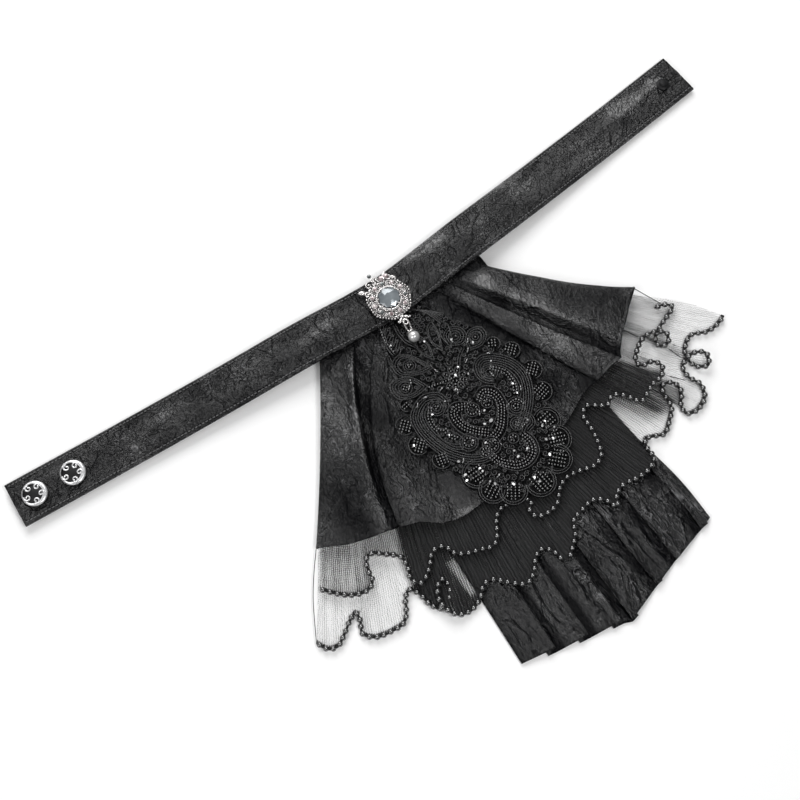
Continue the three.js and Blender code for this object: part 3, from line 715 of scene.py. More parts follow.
def addToStudio(name, data, at, target):
    made = bpy.data.objects.new(name, data)
    bpy.context.scene.collection.objects.link(made)
    made.location = toMetres(at)
    made.rotation_euler = (toMetres(target) - made.location).to_track_quat("-Z", "Y").to_euler()
    return made


def makeCamera():
    data = bpy.data.cameras.new("camera")
    data.lens, data.sensor_width = studio["lens"], studio["sensor"]
    bpy.context.scene.camera = addToStudio("camera", data, studio["eye"], studio["lookAt"])


def makeLights():
    for lamp in studio["lights"]:
        data = bpy.data.lights.new(lamp["name"], "AREA")
        data.size, data.energy = lamp["size"], lamp["watts"]
        addToStudio(lamp["name"], data, lamp["at"], studio["lampsLookAt"])
    world = bpy.data.worlds.new("studio")
    world.use_nodes = True
    sky = {"Color": (1, 1, 1, 1), "Strength": studio["worldStrength"]}
    setInputs(world.node_tree, world.node_tree.nodes["Background"], sky)
    bpy.context.scene.world = world
    bpy.context.scene.view_settings.view_transform = "Standard"


def makeFloor():
    half, z = studio["floorSize"] / 2, studio["floorZ"]
    mesh = bpy.data.meshes.new("floor")
    corners = [(-half, -half, z), (half, -half, z), (half, half, z), (-half, half, z)]
    mesh.from_pydata(corners, [], [(0, 1, 2, 3)])
    mesh.materials.append(surface(newMaterial("floor")[0], studio["floorLook"]))
    floor = bpy.data.objects.new("floor", mesh)
    bpy.context.scene.collection.objects.link(floor)


makeCamera()
makeLights()
makeFloor()
print("studio made")


# Heights of the layers' undersides, as in the solids: on the tail in the middle, on the surface
# beside it, with ripples towards the hems

def overTail(x):
    return 1 - smooth(*layers["tailEdge"], np.abs(x - layers["middleX"]))


def fanWave(x, y):
    # ripples that fan out from behind the neck: height (1 - cos(count a)) / 2, lower on the tail
    angle = np.arctan2(x - layers["middleX"], waves["centreY"] - y)
    reach = np.hypot(x - layers["middleX"], y - layers["headerY"])
    ripple = waves["height"] * (0.5 - 0.5 * np.cos(waves["count"] * angle))
    return ripple * smooth(*waves["reach"], reach) * lerp(1, waves["onTail"], overTail(x))


def layerBottom(x, y, level):
    # level 0 is the lower net, 1 the upper net and 2 the flounce
    return layers["lowerNetZ"] * overTail(x) + fanWave(x, y) + level * layers["layerStep"]


def withShines(shine, x, y, shines):
    # a bell of shine at each place: strength exp(-(dx / sizeX)^2 - (dy / sizeY)^2)
    for atX, atY, sizeX, sizeY, strength in shines:
        shine = shine + strength * np.exp(-((x - atX) / sizeX) ** 2 - ((y - atY) / sizeY) ** 2)
    return shine


def rolledHem(away, roll, groove):
    # the roll along a hem and the groove beside it, each a height, a distance from the hem and a width
    return roll[0] * bell(away, *roll[1:]) + groove[0] * bell(away, *groove[1:])


# Neck band

band = {
    "line": [
        (-213.9, 14.5, 3.2), (-150, 9.3, 3.6), (-95, 4.8, 5.6), (-50, 1.2, 8.4), (-20, -1.5, 8.4),
        (0, -2.4, 8.4), (20, -1.2, 8.4), (50, 1.4, 8.4), (95, 5.6, 4.6), (150, 10.6, 1.9), (201.9, 15.3, 1.5),
    ],
    "half": 12.2,
    "shines": [  # x, y, their two sizes and the strength
        (28, 9.4, 15, 3.8, 1.2), (-38, 2.4, 16, 3, 0.7), (82, 15, 14, 1.8, 0.8), (-72, 6, 12, 5, 0.3),
        (92, 8, 14, 5, 0.35), (-130, 12, 16, 4, 0.35), (60, 8, 16, 9, 0.15), (132, 14, 18, 5, 0.45),
        (166, 17, 13, 4, 1.1), (187, 18, 6, 3, 0.9), (150, 2, 40, 3, 0.3),
    ],
    "stitchIn": 1.9,
    "stitchStep": 2.0,
    "stitchSize": (0.74, 0.32, 0.28),
    "stitchZ": 1.62,
    "spacing": 0.9,
    "columns": 57,
    "edgePower": 16,
    "baseShine": 0.5,
    "seamDepth": 0.38,
    "seamWidth": 0.45,
    "crush": 0.8,
}


def bandSurface(path, side, above):
    # place across the band, and its height: a flat pad with rounded folded edges and two seams
    half = band["half"]
    points = path[:, None] + half * side[None, :, None] * unit(leftOf(path))[:, None]
    x, y = points[..., 0], points[..., 1]
    edge = np.sqrt(np.clip(1 - np.abs(side) ** band["edgePower"], 0, 1))
    if above:
        seam = band["seamDepth"] * bell(np.abs(side), 1 - band["stitchIn"] / half, band["seamWidth"] / half)
        swell = 0.55 * smooth(1, 0.5, np.abs(side)) * noise(x, y * 3.2, 30, 5)
        ridge = 0.3 * bell(side, 0.12 + 0.3 * noise(path[:, 0], 0 * path[:, 0], 45, 8)[:, None], 0.16)
        crushed = band["crush"] * crinkle(x, y, 3)
        lift = 0.75 + 1.1 * edge - seam + edge * (crushed + swell + ridge - 0.1)
    else:
        lift = 0.75 - 0.75 * edge + 0 * x
    points[..., 2] += lift - 0.25
    return points


def makeBand():
    path = curveThrough(band["line"], band["spacing"])
    t = np.linspace(-1, 1, band["columns"])
    side = lerp(t, np.sin(t * np.pi / 2), 0.35)
    top = bandSurface(path, side, True)
    low = bandSurface(path, side[::4][::-1][1:-1], False)
    loop = np.concatenate([top[:, ::-1], low[:, ::-1]], axis=1)
    shape = gridShape(loop, wrapColumns=True)
    coverEnds(shape, loop.shape[1])
    x, y = loop[..., 0], loop[..., 1]
    shine = band["baseShine"] + 0.3 * noise(x, y * 2, 24, 9) + 0.12 * smooth(20, 120, x)
    shine = withShines(shine, x, y, band["shines"])
    return makePiece("neck_band_cloth", [shape], "band", ["neck_band"], values={"shine": shine})


def makeStitches():
    line = curveThrough(band["line"], band["stitchStep"])
    along = tangents(line)[1:-1]
    rows = []
    for sign in (-1, 1):
        place = line + sign * (band["half"] - band["stitchIn"]) * leftOf(line) + [0, 0, band["stitchZ"]]
        rows.append(copies(ball(6, 3), place[1:-1], band["stitchSize"], np.arctan2(along[:, 1], along[:, 0])))
    makePiece("neck_band_stitches", rows, "stitch")


bandPiece = makeBand()
makeStitches()
print("neck band made")


# Snaps: profiles of radius and height. Those of the cap, the rim and the stud count down from the top.
snaps = {
    "socket": [(0, 0), (4.5, 0), (5, 0.4)],
    "cap": [
        (5, 5.4), (4.6, 5), (1.5, 5), (1.5, 1.95), (5.9, 1.95), (5.9, 1.5), (4.9, 1.2), (3.6, 0.75),
        (2.0, 0.42), (1.0, 0.32), (0, 0.3),
    ],
    "rim": [
        (5.1, 1.2), (4.9, 0.8), (4.95, 0.4), (5.3, 0.15), (5.9, 0.2), (6.35, 0.65), (6.5, 1.2), (6.3, 1.7),
        (5.9, 1.85), (5.1, 1.2),
    ],
    "opening": 5.5,
    "openingShift": (-0.75, 0.3),
    "curls": 5,
    "firstCurl": 38,
    "curlRadii": (1.75, 0.55),
    "curlThick": (0.55, 0.3),
    "curlBall": (0.5, 0.5, 0.35),
    "curlDepth": 0.5,
    "eyelet": [(0, 0), (3.9, 0), (4.2, 0.25), (4.2, 1.1), (1.5, 1.2)],
    "stud": [
        (1.5, 2.4), (3.3, 2.35), (3.4, 2.0), (3.1, 1.75), (1.8, 1.6), (1.7, 1.2), (2.05, 0.7), (1.8, 0.25),
        (1.1, 0.04), (0, 0),
    ],
}


def middleAndTop(name):
    low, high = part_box(name)
    return (np.array(low + high) / 2 * 1000 - patternMiddle)[:2], high.z * 1000


def below(top, profile):
    return [(radius, top - depth) for radius, depth in profile]


def makeSnap(name):
    # the dome, post and socket are one turned profile; the ring has curls that reach inwards
    centre, top = middleAndTop(name)
    dome = turned(snaps["socket"] + below(top, snaps["cap"]), centre, 40)
    makePiece(name + "_dome", [dome], "enamel", [name])
    rim = turned(below(top, snaps["rim"]), centre, 56)
    inner = np.hypot(*(rim["points"][:, :2] - centre).T) < snaps["opening"]
    rim["points"][inner, :2] += snaps["openingShift"]
    shapes = [rim]
    for k in range(snaps["curls"]):
        middle = 360 * k / snaps["curls"] + snaps["firstCurl"]
        a = np.radians(middle)
        eye = centre + (3.7 - 0.3 * np.cos(a)) * np.array([np.cos(a), np.sin(a)])
        flat = spiral(eye, *snaps["curlRadii"], 1.0, middle - 40, 0.3)
        curl = raised(flat, top - snaps["curlDepth"])
        shapes.append(tube(curl, np.linspace(*snaps["curlThick"], len(curl))))
        shapes.append(copies(ball(8, 5), curl[-1:], snaps["curlBall"]))
    makePiece(name + "_ring", shapes, "snapSilver")


def makeStud():
    centre, top = middleAndTop("snap_stud")
    head = turned(snaps["eyelet"] + below(top, snaps["stud"]), centre, 36)
    makePiece("snap_stud_head", [head], "enamel", ["snap_stud"])


makeSnap("snap_1")
makeSnap("snap_2")
makeStud()
print("snaps made")


# Flounce. Each fold: x at the band, x and y half way and at the hem, its lift over the net at the
# three places, and its shine.
flounce = {
    "folds": [
        (-40, -66, -49.5, -95, -91, 0, -0.3, -0.3, 0),
        (-45.4, -73.2, -47.3, -104.2, -88.9, 0, -0.2, -0.2, 0.2),
        (-46, -74, -47, -105, -88.5, 0, 0.5, 0.4, 0.45),
        (-44.8, -72.4, -47.5, -103.4, -89.5, 0.1, 1.6, 1.2, 0.75),
        (-38.6, -65.5, -49.3, -92, -95.9, 0.1, 2.6, 2, 0.55),
        (-31.6, -58, -50, -80, -100.2, 0.2, 3.6, 1.6, 0.45),
        (-25.4, -53.4, -50, -72, -102, 0.3, 6.6, 0.9, 0.95),
        (-24.4, -51.8, -50.2, -70.4, -102.5, 0.3, 5, 0.7, 0.4),
        (-23.4, -50.6, -50.8, -68.8, -103, 0, 1.2, 0.7, 0),
        (-17, -44, -53, -61, -103.6, -0.1, -0.3, -0.2, 0),
        (-8, -40.5, -54, -58, -104.4, 0, 0.4, 0.3, 0),
        (-7.6, -46, -51, -66.2, -104.4, 0.3, 2.6, 2, 0.15),
        (-7, -45, -52, -64.6, -105.1, 0.4, 3.9, 2.7, 0.3),
        (-5.6, -40, -56, -56.5, -107.9, 0.3, 3, 2.2, 0.45),
        (-4.4, -36.5, -58.5, -51, -112, 0.4, 1.4, 1.4, 0.5),
        (-3.2, -33.4, -60, -47, -114.7, 0, 0.6, 1, 0.5),
        (-1.6, -26, -62, -36, -117.4, 0, 0, 0, 0.6),
        (2, -5, -64, -6, -116, 0, 0, 0, 0.3),
        (9, 26, -64, 32.5, -108, 0, 0, 0, 0.45),
        (13, 33, -64, 40, -105, 0, 0, 0.6, 0.2),
        (17, 39.2, -62.5, 50, -100.6, -0.1, -0.2, 0.3, 0),
        (20.5, 45, -60.5, 63, -98.6, 0, 0.2, 0.2, 0),
        (18.2, 41, -61.8, 58.6, -99.6, 0.3, 1.8, 1, 0.05),
        (19.2, 42.4, -61, 60.4, -99.4, 0.4, 3, 2.2, 0.4),
        (21.6, 46, -58.8, 67.5, -98, 0.4, 3.8, 2.8, 0.75),
        (23.6, 49.6, -56.4, 74.6, -97.2, 0.4, 4.8, 3, 0.75),
        (24.6, 50.9, -55.4, 76.2, -96.8, 0.2, 3, 2, 0.3),
        (25.6, 51.6, -54.8, 76.8, -95.8, -0.1, 0.4, 0.5, 0),
        (27.4, 53.4, -52.8, 78.4, -93.2, 0, 0.6, 0.5, 0.1),
        (29.4, 55.6, -50.4, 81.4, -89.8, 0.4, 5.4, 3, 0.9),
        (31.4, 58.4, -48.8, 84.2, -87, 0.3, 5.2, 3.2, 0.8),
        (35.4, 65, -46, 92, -81, 0.2, 3.4, 2.4, 0.6),
        (39.6, 70.8, -43.4, 101.6, -72.2, 0.2, 2.6, 1.8, 0.55),
        (40.8, 72.6, -42.3, 105.2, -70, 0, 1.4, 1, 0.5),
        (41, 73, -42, 106, -69.6, 0, 0.4, 0.3, 0.4),
        (40.4, 72, -42.8, 105, -70.4, 0, -0.2, -0.2, 0),
        (36, 65, -46, 96, -77, 0, -0.3, -0.3, 0),
    ],
    "shines": [  # x, y, their two sizes and the strength
        (-58, -40, 7, 18, 0.5), (45, -24, 8, 7, 0.5), (60, -62, 14, 22, 0.35), (-38, -108, 12, 7, 0.5),
        (40, -102, 7, 5, 0.5), (-88, -80, 14, 18, -0.25), (88, -58, 16, 10, -0.35),
        (-30, -84, 14, 18, -0.35), (-84, -62, 14, 24, -0.4), (64, -30, 16, 8, -0.2),
        (-8, -112, 30, 8, -0.25), (92, -70, 12, 12, -0.15), (43.5, -23, 3, 6, 0.9), (50, -43, 3.4, 8, 0.6),
        (57, -59, 4, 7, 0.5), (-39, -28, 2.4, 7, 0.8), (-50, -50, 2.4, 8, 0.5), (30, -88, 12, 14, -0.25),
        (-34, -116, 6, 3, 0.9),
    ],
    "columnsEach": 9,
    "rows": 120,
    "opens": (0.05, 0.22),
    "length": 110,
    "roll": (0.3, 0.7, 0.6),
    "groove": (-0.22, 2.6, 0.5),
    "thick": 0.7,
    "crush": 0.9,
}


def spread(values, count):
    # the folds' values joined by a smooth curve, with the same number of columns between each two
    ends = np.concatenate([[2 * values[0] - values[1]], values, [2 * values[-1] - values[-2]]])
    a, b, c, d = (ends[k:len(ends) - 3 + k, None] for k in range(4))
    inner = cubic(b, c, (c - a) * 0.32, (d - b) * 0.32, np.linspace(0, 1, count, endpoint=False))
    return np.append(inner.ravel(), values[-1])


def makeFlounce():
    top, middleX, middleY, hemX, hemY, *lifts, shine = (
        spread(column, flounce["columnsEach"])[:, None] for column in np.array(flounce["folds"]).T
    )
    t = 1 - (1 - np.linspace(0, 1, flounce["rows"])) ** 1.25
    x = quadratic(top, middleX, hemX, t)
    y = quadratic(layers["headerY"], middleY, hemY, t)
    lift = quadratic(*lifts, t)
    opening = smooth(*flounce["opens"], t)
    crushed = flounce["crush"] * crinkle(x, y, 61) * (0.35 + 0.65 * smooth(0, 1.2, lift)) - 0.3
    z = layerBottom(x, y, 2) + layers["flounceThick"] + lift * opening + crushed * smooth(0.08, 0.2, t)
    z = z + rolledHem((1 - t) * flounce["length"], flounce["roll"], flounce["groove"])
    shine = withShines(shine + 0.25 * noise(x, y, 22, 63), x, y, flounce["shines"])
    shape = gridShape(np.stack([x, y, z], -1))
    values = {"shine": lerp(0.1, shine, opening)}
    piece = makePiece("flounce_cloth", [shape], "flounce", ["flounce"], values=values)
    giveThickness(piece, flounce["thick"])
    return piece


flouncePiece = makeFlounce()
print("flounce made")


# Bead strands: routes as in the solids, x and y and where a strand crosses itself its lift
strands = {
    "beads_upper_left": [
        (-114.6, -105.9), (-108.8, -112.9), (-102.4, -118.1), (-96, -119.9), (-91.6, -117.6),
        (-90.3, -111.5), (-87.8, -106.8), (-84.3, -106.1), (-79.5, -110), (-73.6, -116), (-74, -122.4),
        (-76, -128), (-72.8, -131.9), (-66, -128.7), (-60.2, -123.1), (-56, -122.4), (-52.8, -124.6),
        (-51, -129.6), (-45.9, -133.2), (-40, -135.2), (-33.6, -137.4), (-29.2, -134.4), (-25.4, -128.6),
        (-21, -124.8), (-13.5, -124.6),
    ],
    "beads_upper_right": [
        (-10.6, -125.5), (-5, -129.4), (-9, -134.2), (-7, -138), (-0.7, -139.5), (5.4, -137.8), (10, -133),
        (16, -130.4), (24, -131.6), (31, -133.5), (36.8, -131.6), (39.8, -125.5), (41.6, -117.5),
        (42.4, -109.6), (46.4, -106.4), (51, -109.2), (55.6, -112.2), (60.8, -109.6), (66, -113.4),
        (70.6, -120.6, 0.6), (74, -119.6, 0.8), (81.7, -116.5, 0.6), (87.6, -115.6), (91.2, -111.4),
        (88.8, -106.8), (83.2, -105.6), (81.6, -102.2), (86.3, -97.3, 0.6), (93, -94.2, 1.4),
        (99.6, -95.4, 2.8), (103.4, -99.6, 3), (100.4, -104, 2.4), (96.6, -102.2, 0.6), (98, -97.6),
        (103.4, -94.2), (110.9, -91.4), (116, -89), (113.4, -85.8), (108, -84.2),
    ],
    "beads_lower_left": [
        (-130.5, -126.6), (-127.8, -132), (-123, -133.6), (-117.7, -130.9), (-111.5, -126.8), (-107, -125),
        (-107.2, -129.4), (-110, -135.4), (-106, -140.4), (-97.7, -142.6), (-90.4, -142.6), (-86, -138),
        (-83, -133), (-79, -131), (-76.4, -135.4), (-75.2, -142.4), (-72.4, -147.2), (-66.6, -146),
        (-62.6, -141), (-63, -136.4, 1.8), (-67, -137.6, 3.3), (-70.4, -143.2, 3.4), (-70.6, -149.2, 3.2),
        (-67.2, -154.6, 1.6), (-62, -156.4), (-56.8, -155.6), (-52.6, -153.4, 1.6), (-48.4, -149.9, 2.3),
        (-43.4, -150.6, 2.3), (-38, -156, 2.3), (-31, -161.6, 2.3), (-25, -159, 2.3), (-19.6, -153.4, 2.3),
        (-14.6, -152.2, 2.3), (-11, -156.6, 2.3), (-10, -163, 2.3),
    ],
    "beads_lower_right": [
        (-6.8, -163.6, 2.3), (-2, -159.8, 2.3), (2.8, -155.6, 2.3), (6.2, -149.8, 2.3), (12, -148, 2.3),
        (20.6, -147, 2.3), (25.6, -151, 2.3), (28, -156.6, 2.3), (31.4, -151.6, 2.3), (37, -149.4, 2.3),
        (45, -150.6, 2.3), (53, -150.2, 2.3), (58.4, -147.2, 1.8), (59, -141.6), (61.4, -136.8),
        (66, -138.2), (70.8, -140.2), (76.4, -136.8), (82.4, -131), (83.4, -125), (85, -119.6, 1),
        (90.6, -121.6, 1.6), (91.2, -127.6, 1.2), (86.8, -133.2), (86.4, -138.2), (92.6, -139.8),
        (99.4, -136.6), (101.9, -130.2), (99.2, -123), (100.2, -117.4, 0.6), (107.6, -115.2, 3.2),
        (113.4, -119, 3.4), (110.8, -124.6, 2.4), (106, -121), (105.2, -113.8), (108.6, -109.2),
        (114.4, -106.4), (122, -109.6), (129, -109.6), (134.9, -107.6),
    ],
}
beads = {"radius": 1.55, "step": 3.6, "thread": 0.62, "sizes": (0.93, 1.02), "wander": 0.2, "seed": 71}


def strandPath(name, spacing):
    # the route with heights: on the lower net for an upper strand, on the surface for a lower one
    x, y, rise = np.array([(*knot, 0)[:3] for knot in strands[name]], float).T
    floorZ = layerBottom(x, y, 0) + layers["netThick"] if "upper" in name else 0 * x
    return curveThrough(np.stack([x, y, floorZ + layers["strandLift"] + rise], 1), spacing)


def makeStrand(name, seed):
    path = strandPath(name, 0.2)
    places = np.arange(beads["radius"], lengths(path)[-1] - 1, beads["step"])
    wander = np.random.default_rng(seed)
    centres = pointsAt(path, places + wander.uniform(-beads["wander"], beads["wander"], len(places)))
    sizes = beads["radius"] * wander.uniform(*beads["sizes"], (len(places), 1))
    makePiece(name + "_beads", [copies(ball(12, 7), centres, sizes)], "bead", [name])
    makePiece(name + "_thread", [tube(path[::4], beads["thread"], 5)], "thread")


for number, strandName in enumerate(strands):
    makeStrand(strandName, beads["seed"] + number)
print("bead strands made")


# Nets
netFan = {"leftX": -45.0, "rightX": 40.0, "leftAngle": -35.2, "rightAngle": 42.8}
nets = {
    "spacing": 1.5,
    "rows": 64,
    "bend": 0.8,
    "evenOver": 46.0,
    "rightBulge": 4.5,
    "hemWidth": 290.0,
    "pleatPitch": 5.2,
    "pleatHeight": 0.35,
    "pleatsOpen": (0.3, 0.75),
    "foldRise": 0.9,
    "lift": 0.5,
    "toHem": (0.86, 1),
    "hemWeave": (0.968, 0.985),
    "leftEdge": (-67, -103, 0.36),
    "rightEdge": (75, -97, -0.8),
    "edges": [
        [(106, -70), (109, -77), (112, -84)], [(87, -84), (91, -92)], [(100, -106), (102, -113)],
        [(91, -118), (96, -124)], [(-105, -88.5), (-112, -97), (-120, -108), (-131, -127)],
    ],
}


def fanLine(share):
    # where a line of the fan starts under the band, and its angle from straight down
    startX = lerp(netFan["leftX"], netFan["rightX"], share)
    return startX, np.radians(lerp(netFan["leftAngle"], netFan["rightAngle"], share))


def fanPlace(x, y):
    # how far across the fan the line through each point is, halving an interval until it fits
    low, high = np.full(x.shape, -0.2), np.full(x.shape, 1.2)
    for _ in range(30):
        middle = (low + high) / 2
        startX, angle = fanLine(middle)
        tooFarLeft = startX + (layers["headerY"] - y) * np.tan(angle) < x
        low, high = np.where(tooFarLeft, middle, low), np.where(tooFarLeft, high, middle)
    return (low + high) / 2


def beyond(x, y, edge):
    # how far to the right of a slanting edge, which is one point on it and its slope
    atX, atY, slope = edge
    return x - atX - (y - atY) * slope


def netDensity(x, y, level):
    # 1 where the net is gathered close over the tail, 0 where it lies open beside it
    dense = smooth(-1.5, 2.5, beyond(x, y, nets["leftEdge"]))
    if level == 1:
        dense = dense * smooth(2, -2, beyond(x, y, nets["rightEdge"])) * lerp(1, 0.74, smooth(56, 62, x))
        return np.maximum(dense, lerp(0.17, 0.0, smooth(60, 75, x)))
    dense = dense * smooth(1, -1.5, x - 57)
    window = smooth(3.4, 2, np.abs(x + 54.6)) * smooth(-129, -132, y) * smooth(-153, -149, y)
    rolled = bell((x - 62) * 0.83 + (104 + y) * 0.56, 0, 7.5) * smooth(-134, -128, y) * smooth(-92, -100, y)
    return np.maximum(dense * (1 - 0.8 * window), 0.55 * rolled * smooth(56, 62, x))


def evenPlaces(place):
    # the hem's places across the fan, evened over some of its length and never running back
    reach = int(nets["evenOver"] / nets["spacing"] / 2)
    window = np.hanning(2 * reach + 1)
    padded = np.pad(place, reach, mode="reflect", reflect_type="odd")
    return np.clip(np.maximum.accumulate(np.convolve(padded, window / window.sum(), mode="valid")), 0, 1)


def makeNet(tier, level):
    # lines from the band to the beaded hem, each the curve (1 - t)^2 a + 2 t (1 - t) b + t^2 c
    hem = np.vstack([strandPath("beads_" + tier + side, nets["spacing"]) for side in ("_left", "_right")])
    place = fanPlace(hem[:, 0], hem[:, 1])
    even = evenPlaces(place)
    startX, angle = fanLine(even)
    header = raised(startX, layers["headerY"])
    reach = nets["bend"] * np.linalg.norm(hem[:, :2] - header, axis=1)[:, None]
    control = header + reach * np.stack([np.sin(angle), -np.cos(angle)], 1)
    t = np.linspace(0, 1, nets["rows"])
    x, y = (
        (1 - t) ** 2 * header[:, k, None] + 2 * t * (1 - t) * control[:, k, None] + t ** 2 * hem[:, k, None]
        for k in range(2)
    )
    bulge = np.sin(np.pi * np.clip((t - 0.35) / 0.65, 0, 1)) ** 1.5
    x = x + nets["rightBulge"] * smooth(0.8, 1, even)[:, None] * bulge
    backwards = np.convolve(np.gradient(place) < 0, np.ones(5) / 5, mode="same")[:, None]
    pleats = nets["pleatHeight"] * np.sin(2 * np.pi * lengths(hem)[:, None] / nets["pleatPitch"])
    folded = (pleats + nets["foldRise"] * backwards) * smooth(*nets["pleatsOpen"], t)
    z = layerBottom(x, y, level) + nets["lift"] + folded
    points = np.stack([x, y, lerp(z, hem[:, None, 2], smooth(*nets["toHem"], t))], -1)
    shape = gridShape(points)
    downward = lengths(points[len(points) // 2])[-1] / (nets["rows"] - 1)
    across = fanPlace(x, y).ravel()[shape["faces"][0]] * nets["hemWidth"]
    shape["uv"][0] = np.stack([across, shape["uv"][0][..., 1] * downward], -1)
    weave = np.maximum(netDensity(x, y, level), smooth(*nets["hemWeave"], t))
    name = "net_" + tier
    return makePiece(name + "_cloth", [shape], "net", [name], values={"weave": weave})


def makeNetEdges():
    # dark threads where a net's cut edge or a sharp fold shows
    paths = [curveThrough(line, 1.0) for line in nets["edges"]]
    threads = [tube(raised(path, layerBottom(*path.T, 1) + 1.0), 0.22, 5) for path in paths]
    makePiece("net_edge_threads", threads, "thread")


netUpper = makeNet("upper", 1)
netLower = makeNet("lower", 0)
makeNetEdges()
print("nets made")


# Tail: knife pleats that face the middle. Each panel's folded edge lies over its neighbour, which
# runs on below it. Pleats: x and y at the hem of the folded edge, and of the fold under it.
# Wrinkles: depth, width and line.
tail = {
    "left": (-56.0, -191.2),
    "right": (61.5, -186.8),
    "leftPleats": [
        (-38.5, -194.4, -42.4, -195.6), (-21.5, -198.6, -26.2, -199.4), (-4.6, -202.2, -8.8, -203.2),
    ],
    "rightPleats": [
        (0.6, -204.6, 3.4, -205), (20.4, -198.4, 23.6, -198.2), (36, -193.8, 38.4, -193.4),
        (54.2, -188.9, 58, -188.6),
    ],
    "taper": 0.84,
    "rise": 1.5,
    "columnsEach": 8,
    "rows": 130,
    "length": 195,
    "roll": (0.25, 0.8, 0.7),
    "groove": (-0.22, 3.0, 0.55),
    "thick": 0.4,
    "wrinkles": [
        (-0.9, 1.3, [(-28.9, -163), (-30.7, -174), (-31.8, -181.4), (-32.8, -187)]),
        (1, 0.9, [(-17.3, -160), (-15.2, -172.2), (-15.7, -177.2), (-17.2, -184)]),
        (-0.9, 0.8, [(-14.6, -162), (-13.9, -173.8), (-14.9, -178.9), (-16.5, -185)]),
        (-0.9, 1, [(-12, -160), (-12.4, -174.2), (-13.3, -181.1), (-14.3, -188.9), (-16.6, -197)]),
        (0.8, 0.8, [(-11.6, -180), (-11.9, -190.7), (-12.9, -196.3), (-13.3, -199)]),
        (0.6, 0.7, [(-5.1, -186), (-8, -198)]),
        (-0.35, 0.8, [(-36, -158), (-38.7, -167.5), (-45.2, -171.9), (-52, -176.1)]),
        (0.6, 1.2, [(-35.9, -160), (-35.6, -177.1), (-34.7, -187)]),
        (-0.7, 1, [(-22.6, -176), (-23.1, -187), (-22.7, -195)]),
        (0.7, 1.2, [(-26, -158), (-25.4, -170), (-27, -184)]),
        (-0.5, 0.7, [(9.6, -160), (7.8, -171.2), (6, -178)]),
        (-0.5, 0.6, [(25.9, -154), (25.1, -162), (27.1, -165.4), (27.4, -171.7), (24.4, -177)]),
        (0.5, 0.6, [(20, -167.4), (26, -169)]),
        (0.5, 0.6, [(38, -164), (43.6, -165.8)]),
        (0.4, 0.6, [(41, -172), (47, -171)]),
    ],
}


def pleatTurns(pleat, side, drop):
    # hem x, hem y and height at each turn of a pleat, from its edge down to the cloth below. side
    # is 1 where the edge faces left and -1 where it faces right.
    edgeX, edgeY, underX, underY = pleat
    high, low = 1.0 + tail["rise"], 0.7
    return [
        (edgeX + 0.8 * side, edgeY, high), (edgeX, edgeY, high - 0.25),
        (edgeX + 0.3 * side, edgeY, high - 0.8), (underX, underY, low + 0.5),
        (underX + 0.2 * side, underY, low + 0.1), (edgeX - 0.6 * side, underY - drop, low),
    ]


def tailStations():
    rows = [(*tail["left"], 1.0)]
    for pleat in tail["leftPleats"]:
        rows += pleatTurns(pleat, -1, 0.8)
    for pleat in tail["rightPleats"]:
        rows += pleatTurns(pleat, 1, 0.6)[::-1]
    return np.array(rows + [(*tail["right"], 1.0)])


def nearLine(x, y, line):
    # distance from each point to a line, and 1 along it that fades at its ends
    path = curveThrough(line, 1.5)
    best, where = np.full(x.shape, 1e9), np.zeros(x.shape)
    for k, (px, py) in enumerate(path):
        distance = np.hypot(x - px, y - py)
        where = np.where(distance < best, k / (len(path) - 1), where)
        best = np.minimum(best, distance)
    return best, smooth(0, 0.2, where) * smooth(1, 0.8, where)


def makeTail():
    hemX, hemY, height = (spread(column, tail["columnsEach"])[:, None] for column in tailStations().T)
    t = np.linspace(0, 1, tail["rows"])
    x = layers["middleX"] + (hemX - layers["middleX"]) * lerp(tail["taper"], 1, t ** 1.3)
    x = x + 2.6 * smooth(30, 60, hemX) * bell(t, 0.88, 0.14)
    y = lerp(layers["headerY"], hemY, t)
    opening, upper = smooth(0, 0.3, t), smooth(0.9, 1.3, height)
    crushed = 0.75 * crinkle(x, y, 95) + 0.25 * noise(x * 3, y * 0.7, 9, 90)
    z = lerp(1.0, height, opening) + upper * opening * crushed
    for depth, width, line in tail["wrinkles"]:
        distance, share = nearLine(x, y, line)
        z = z + depth * share * upper * bell(distance, 0, width)
    z = np.maximum(z + rolledHem((1 - t) * tail["length"], tail["roll"], tail["groove"]), 0.45)
    shine = 0.55 * upper + 0.25 * noise(x, y, 20, 97)
    shape = gridShape(np.stack([x, y, z], -1))
    piece = makePiece("tail_cloth", [shape], "tail", ["tail"], values={"shine": shine})
    giveThickness(piece, tail["thick"])
    return piece


tailPiece = makeTail()
print("tail made")


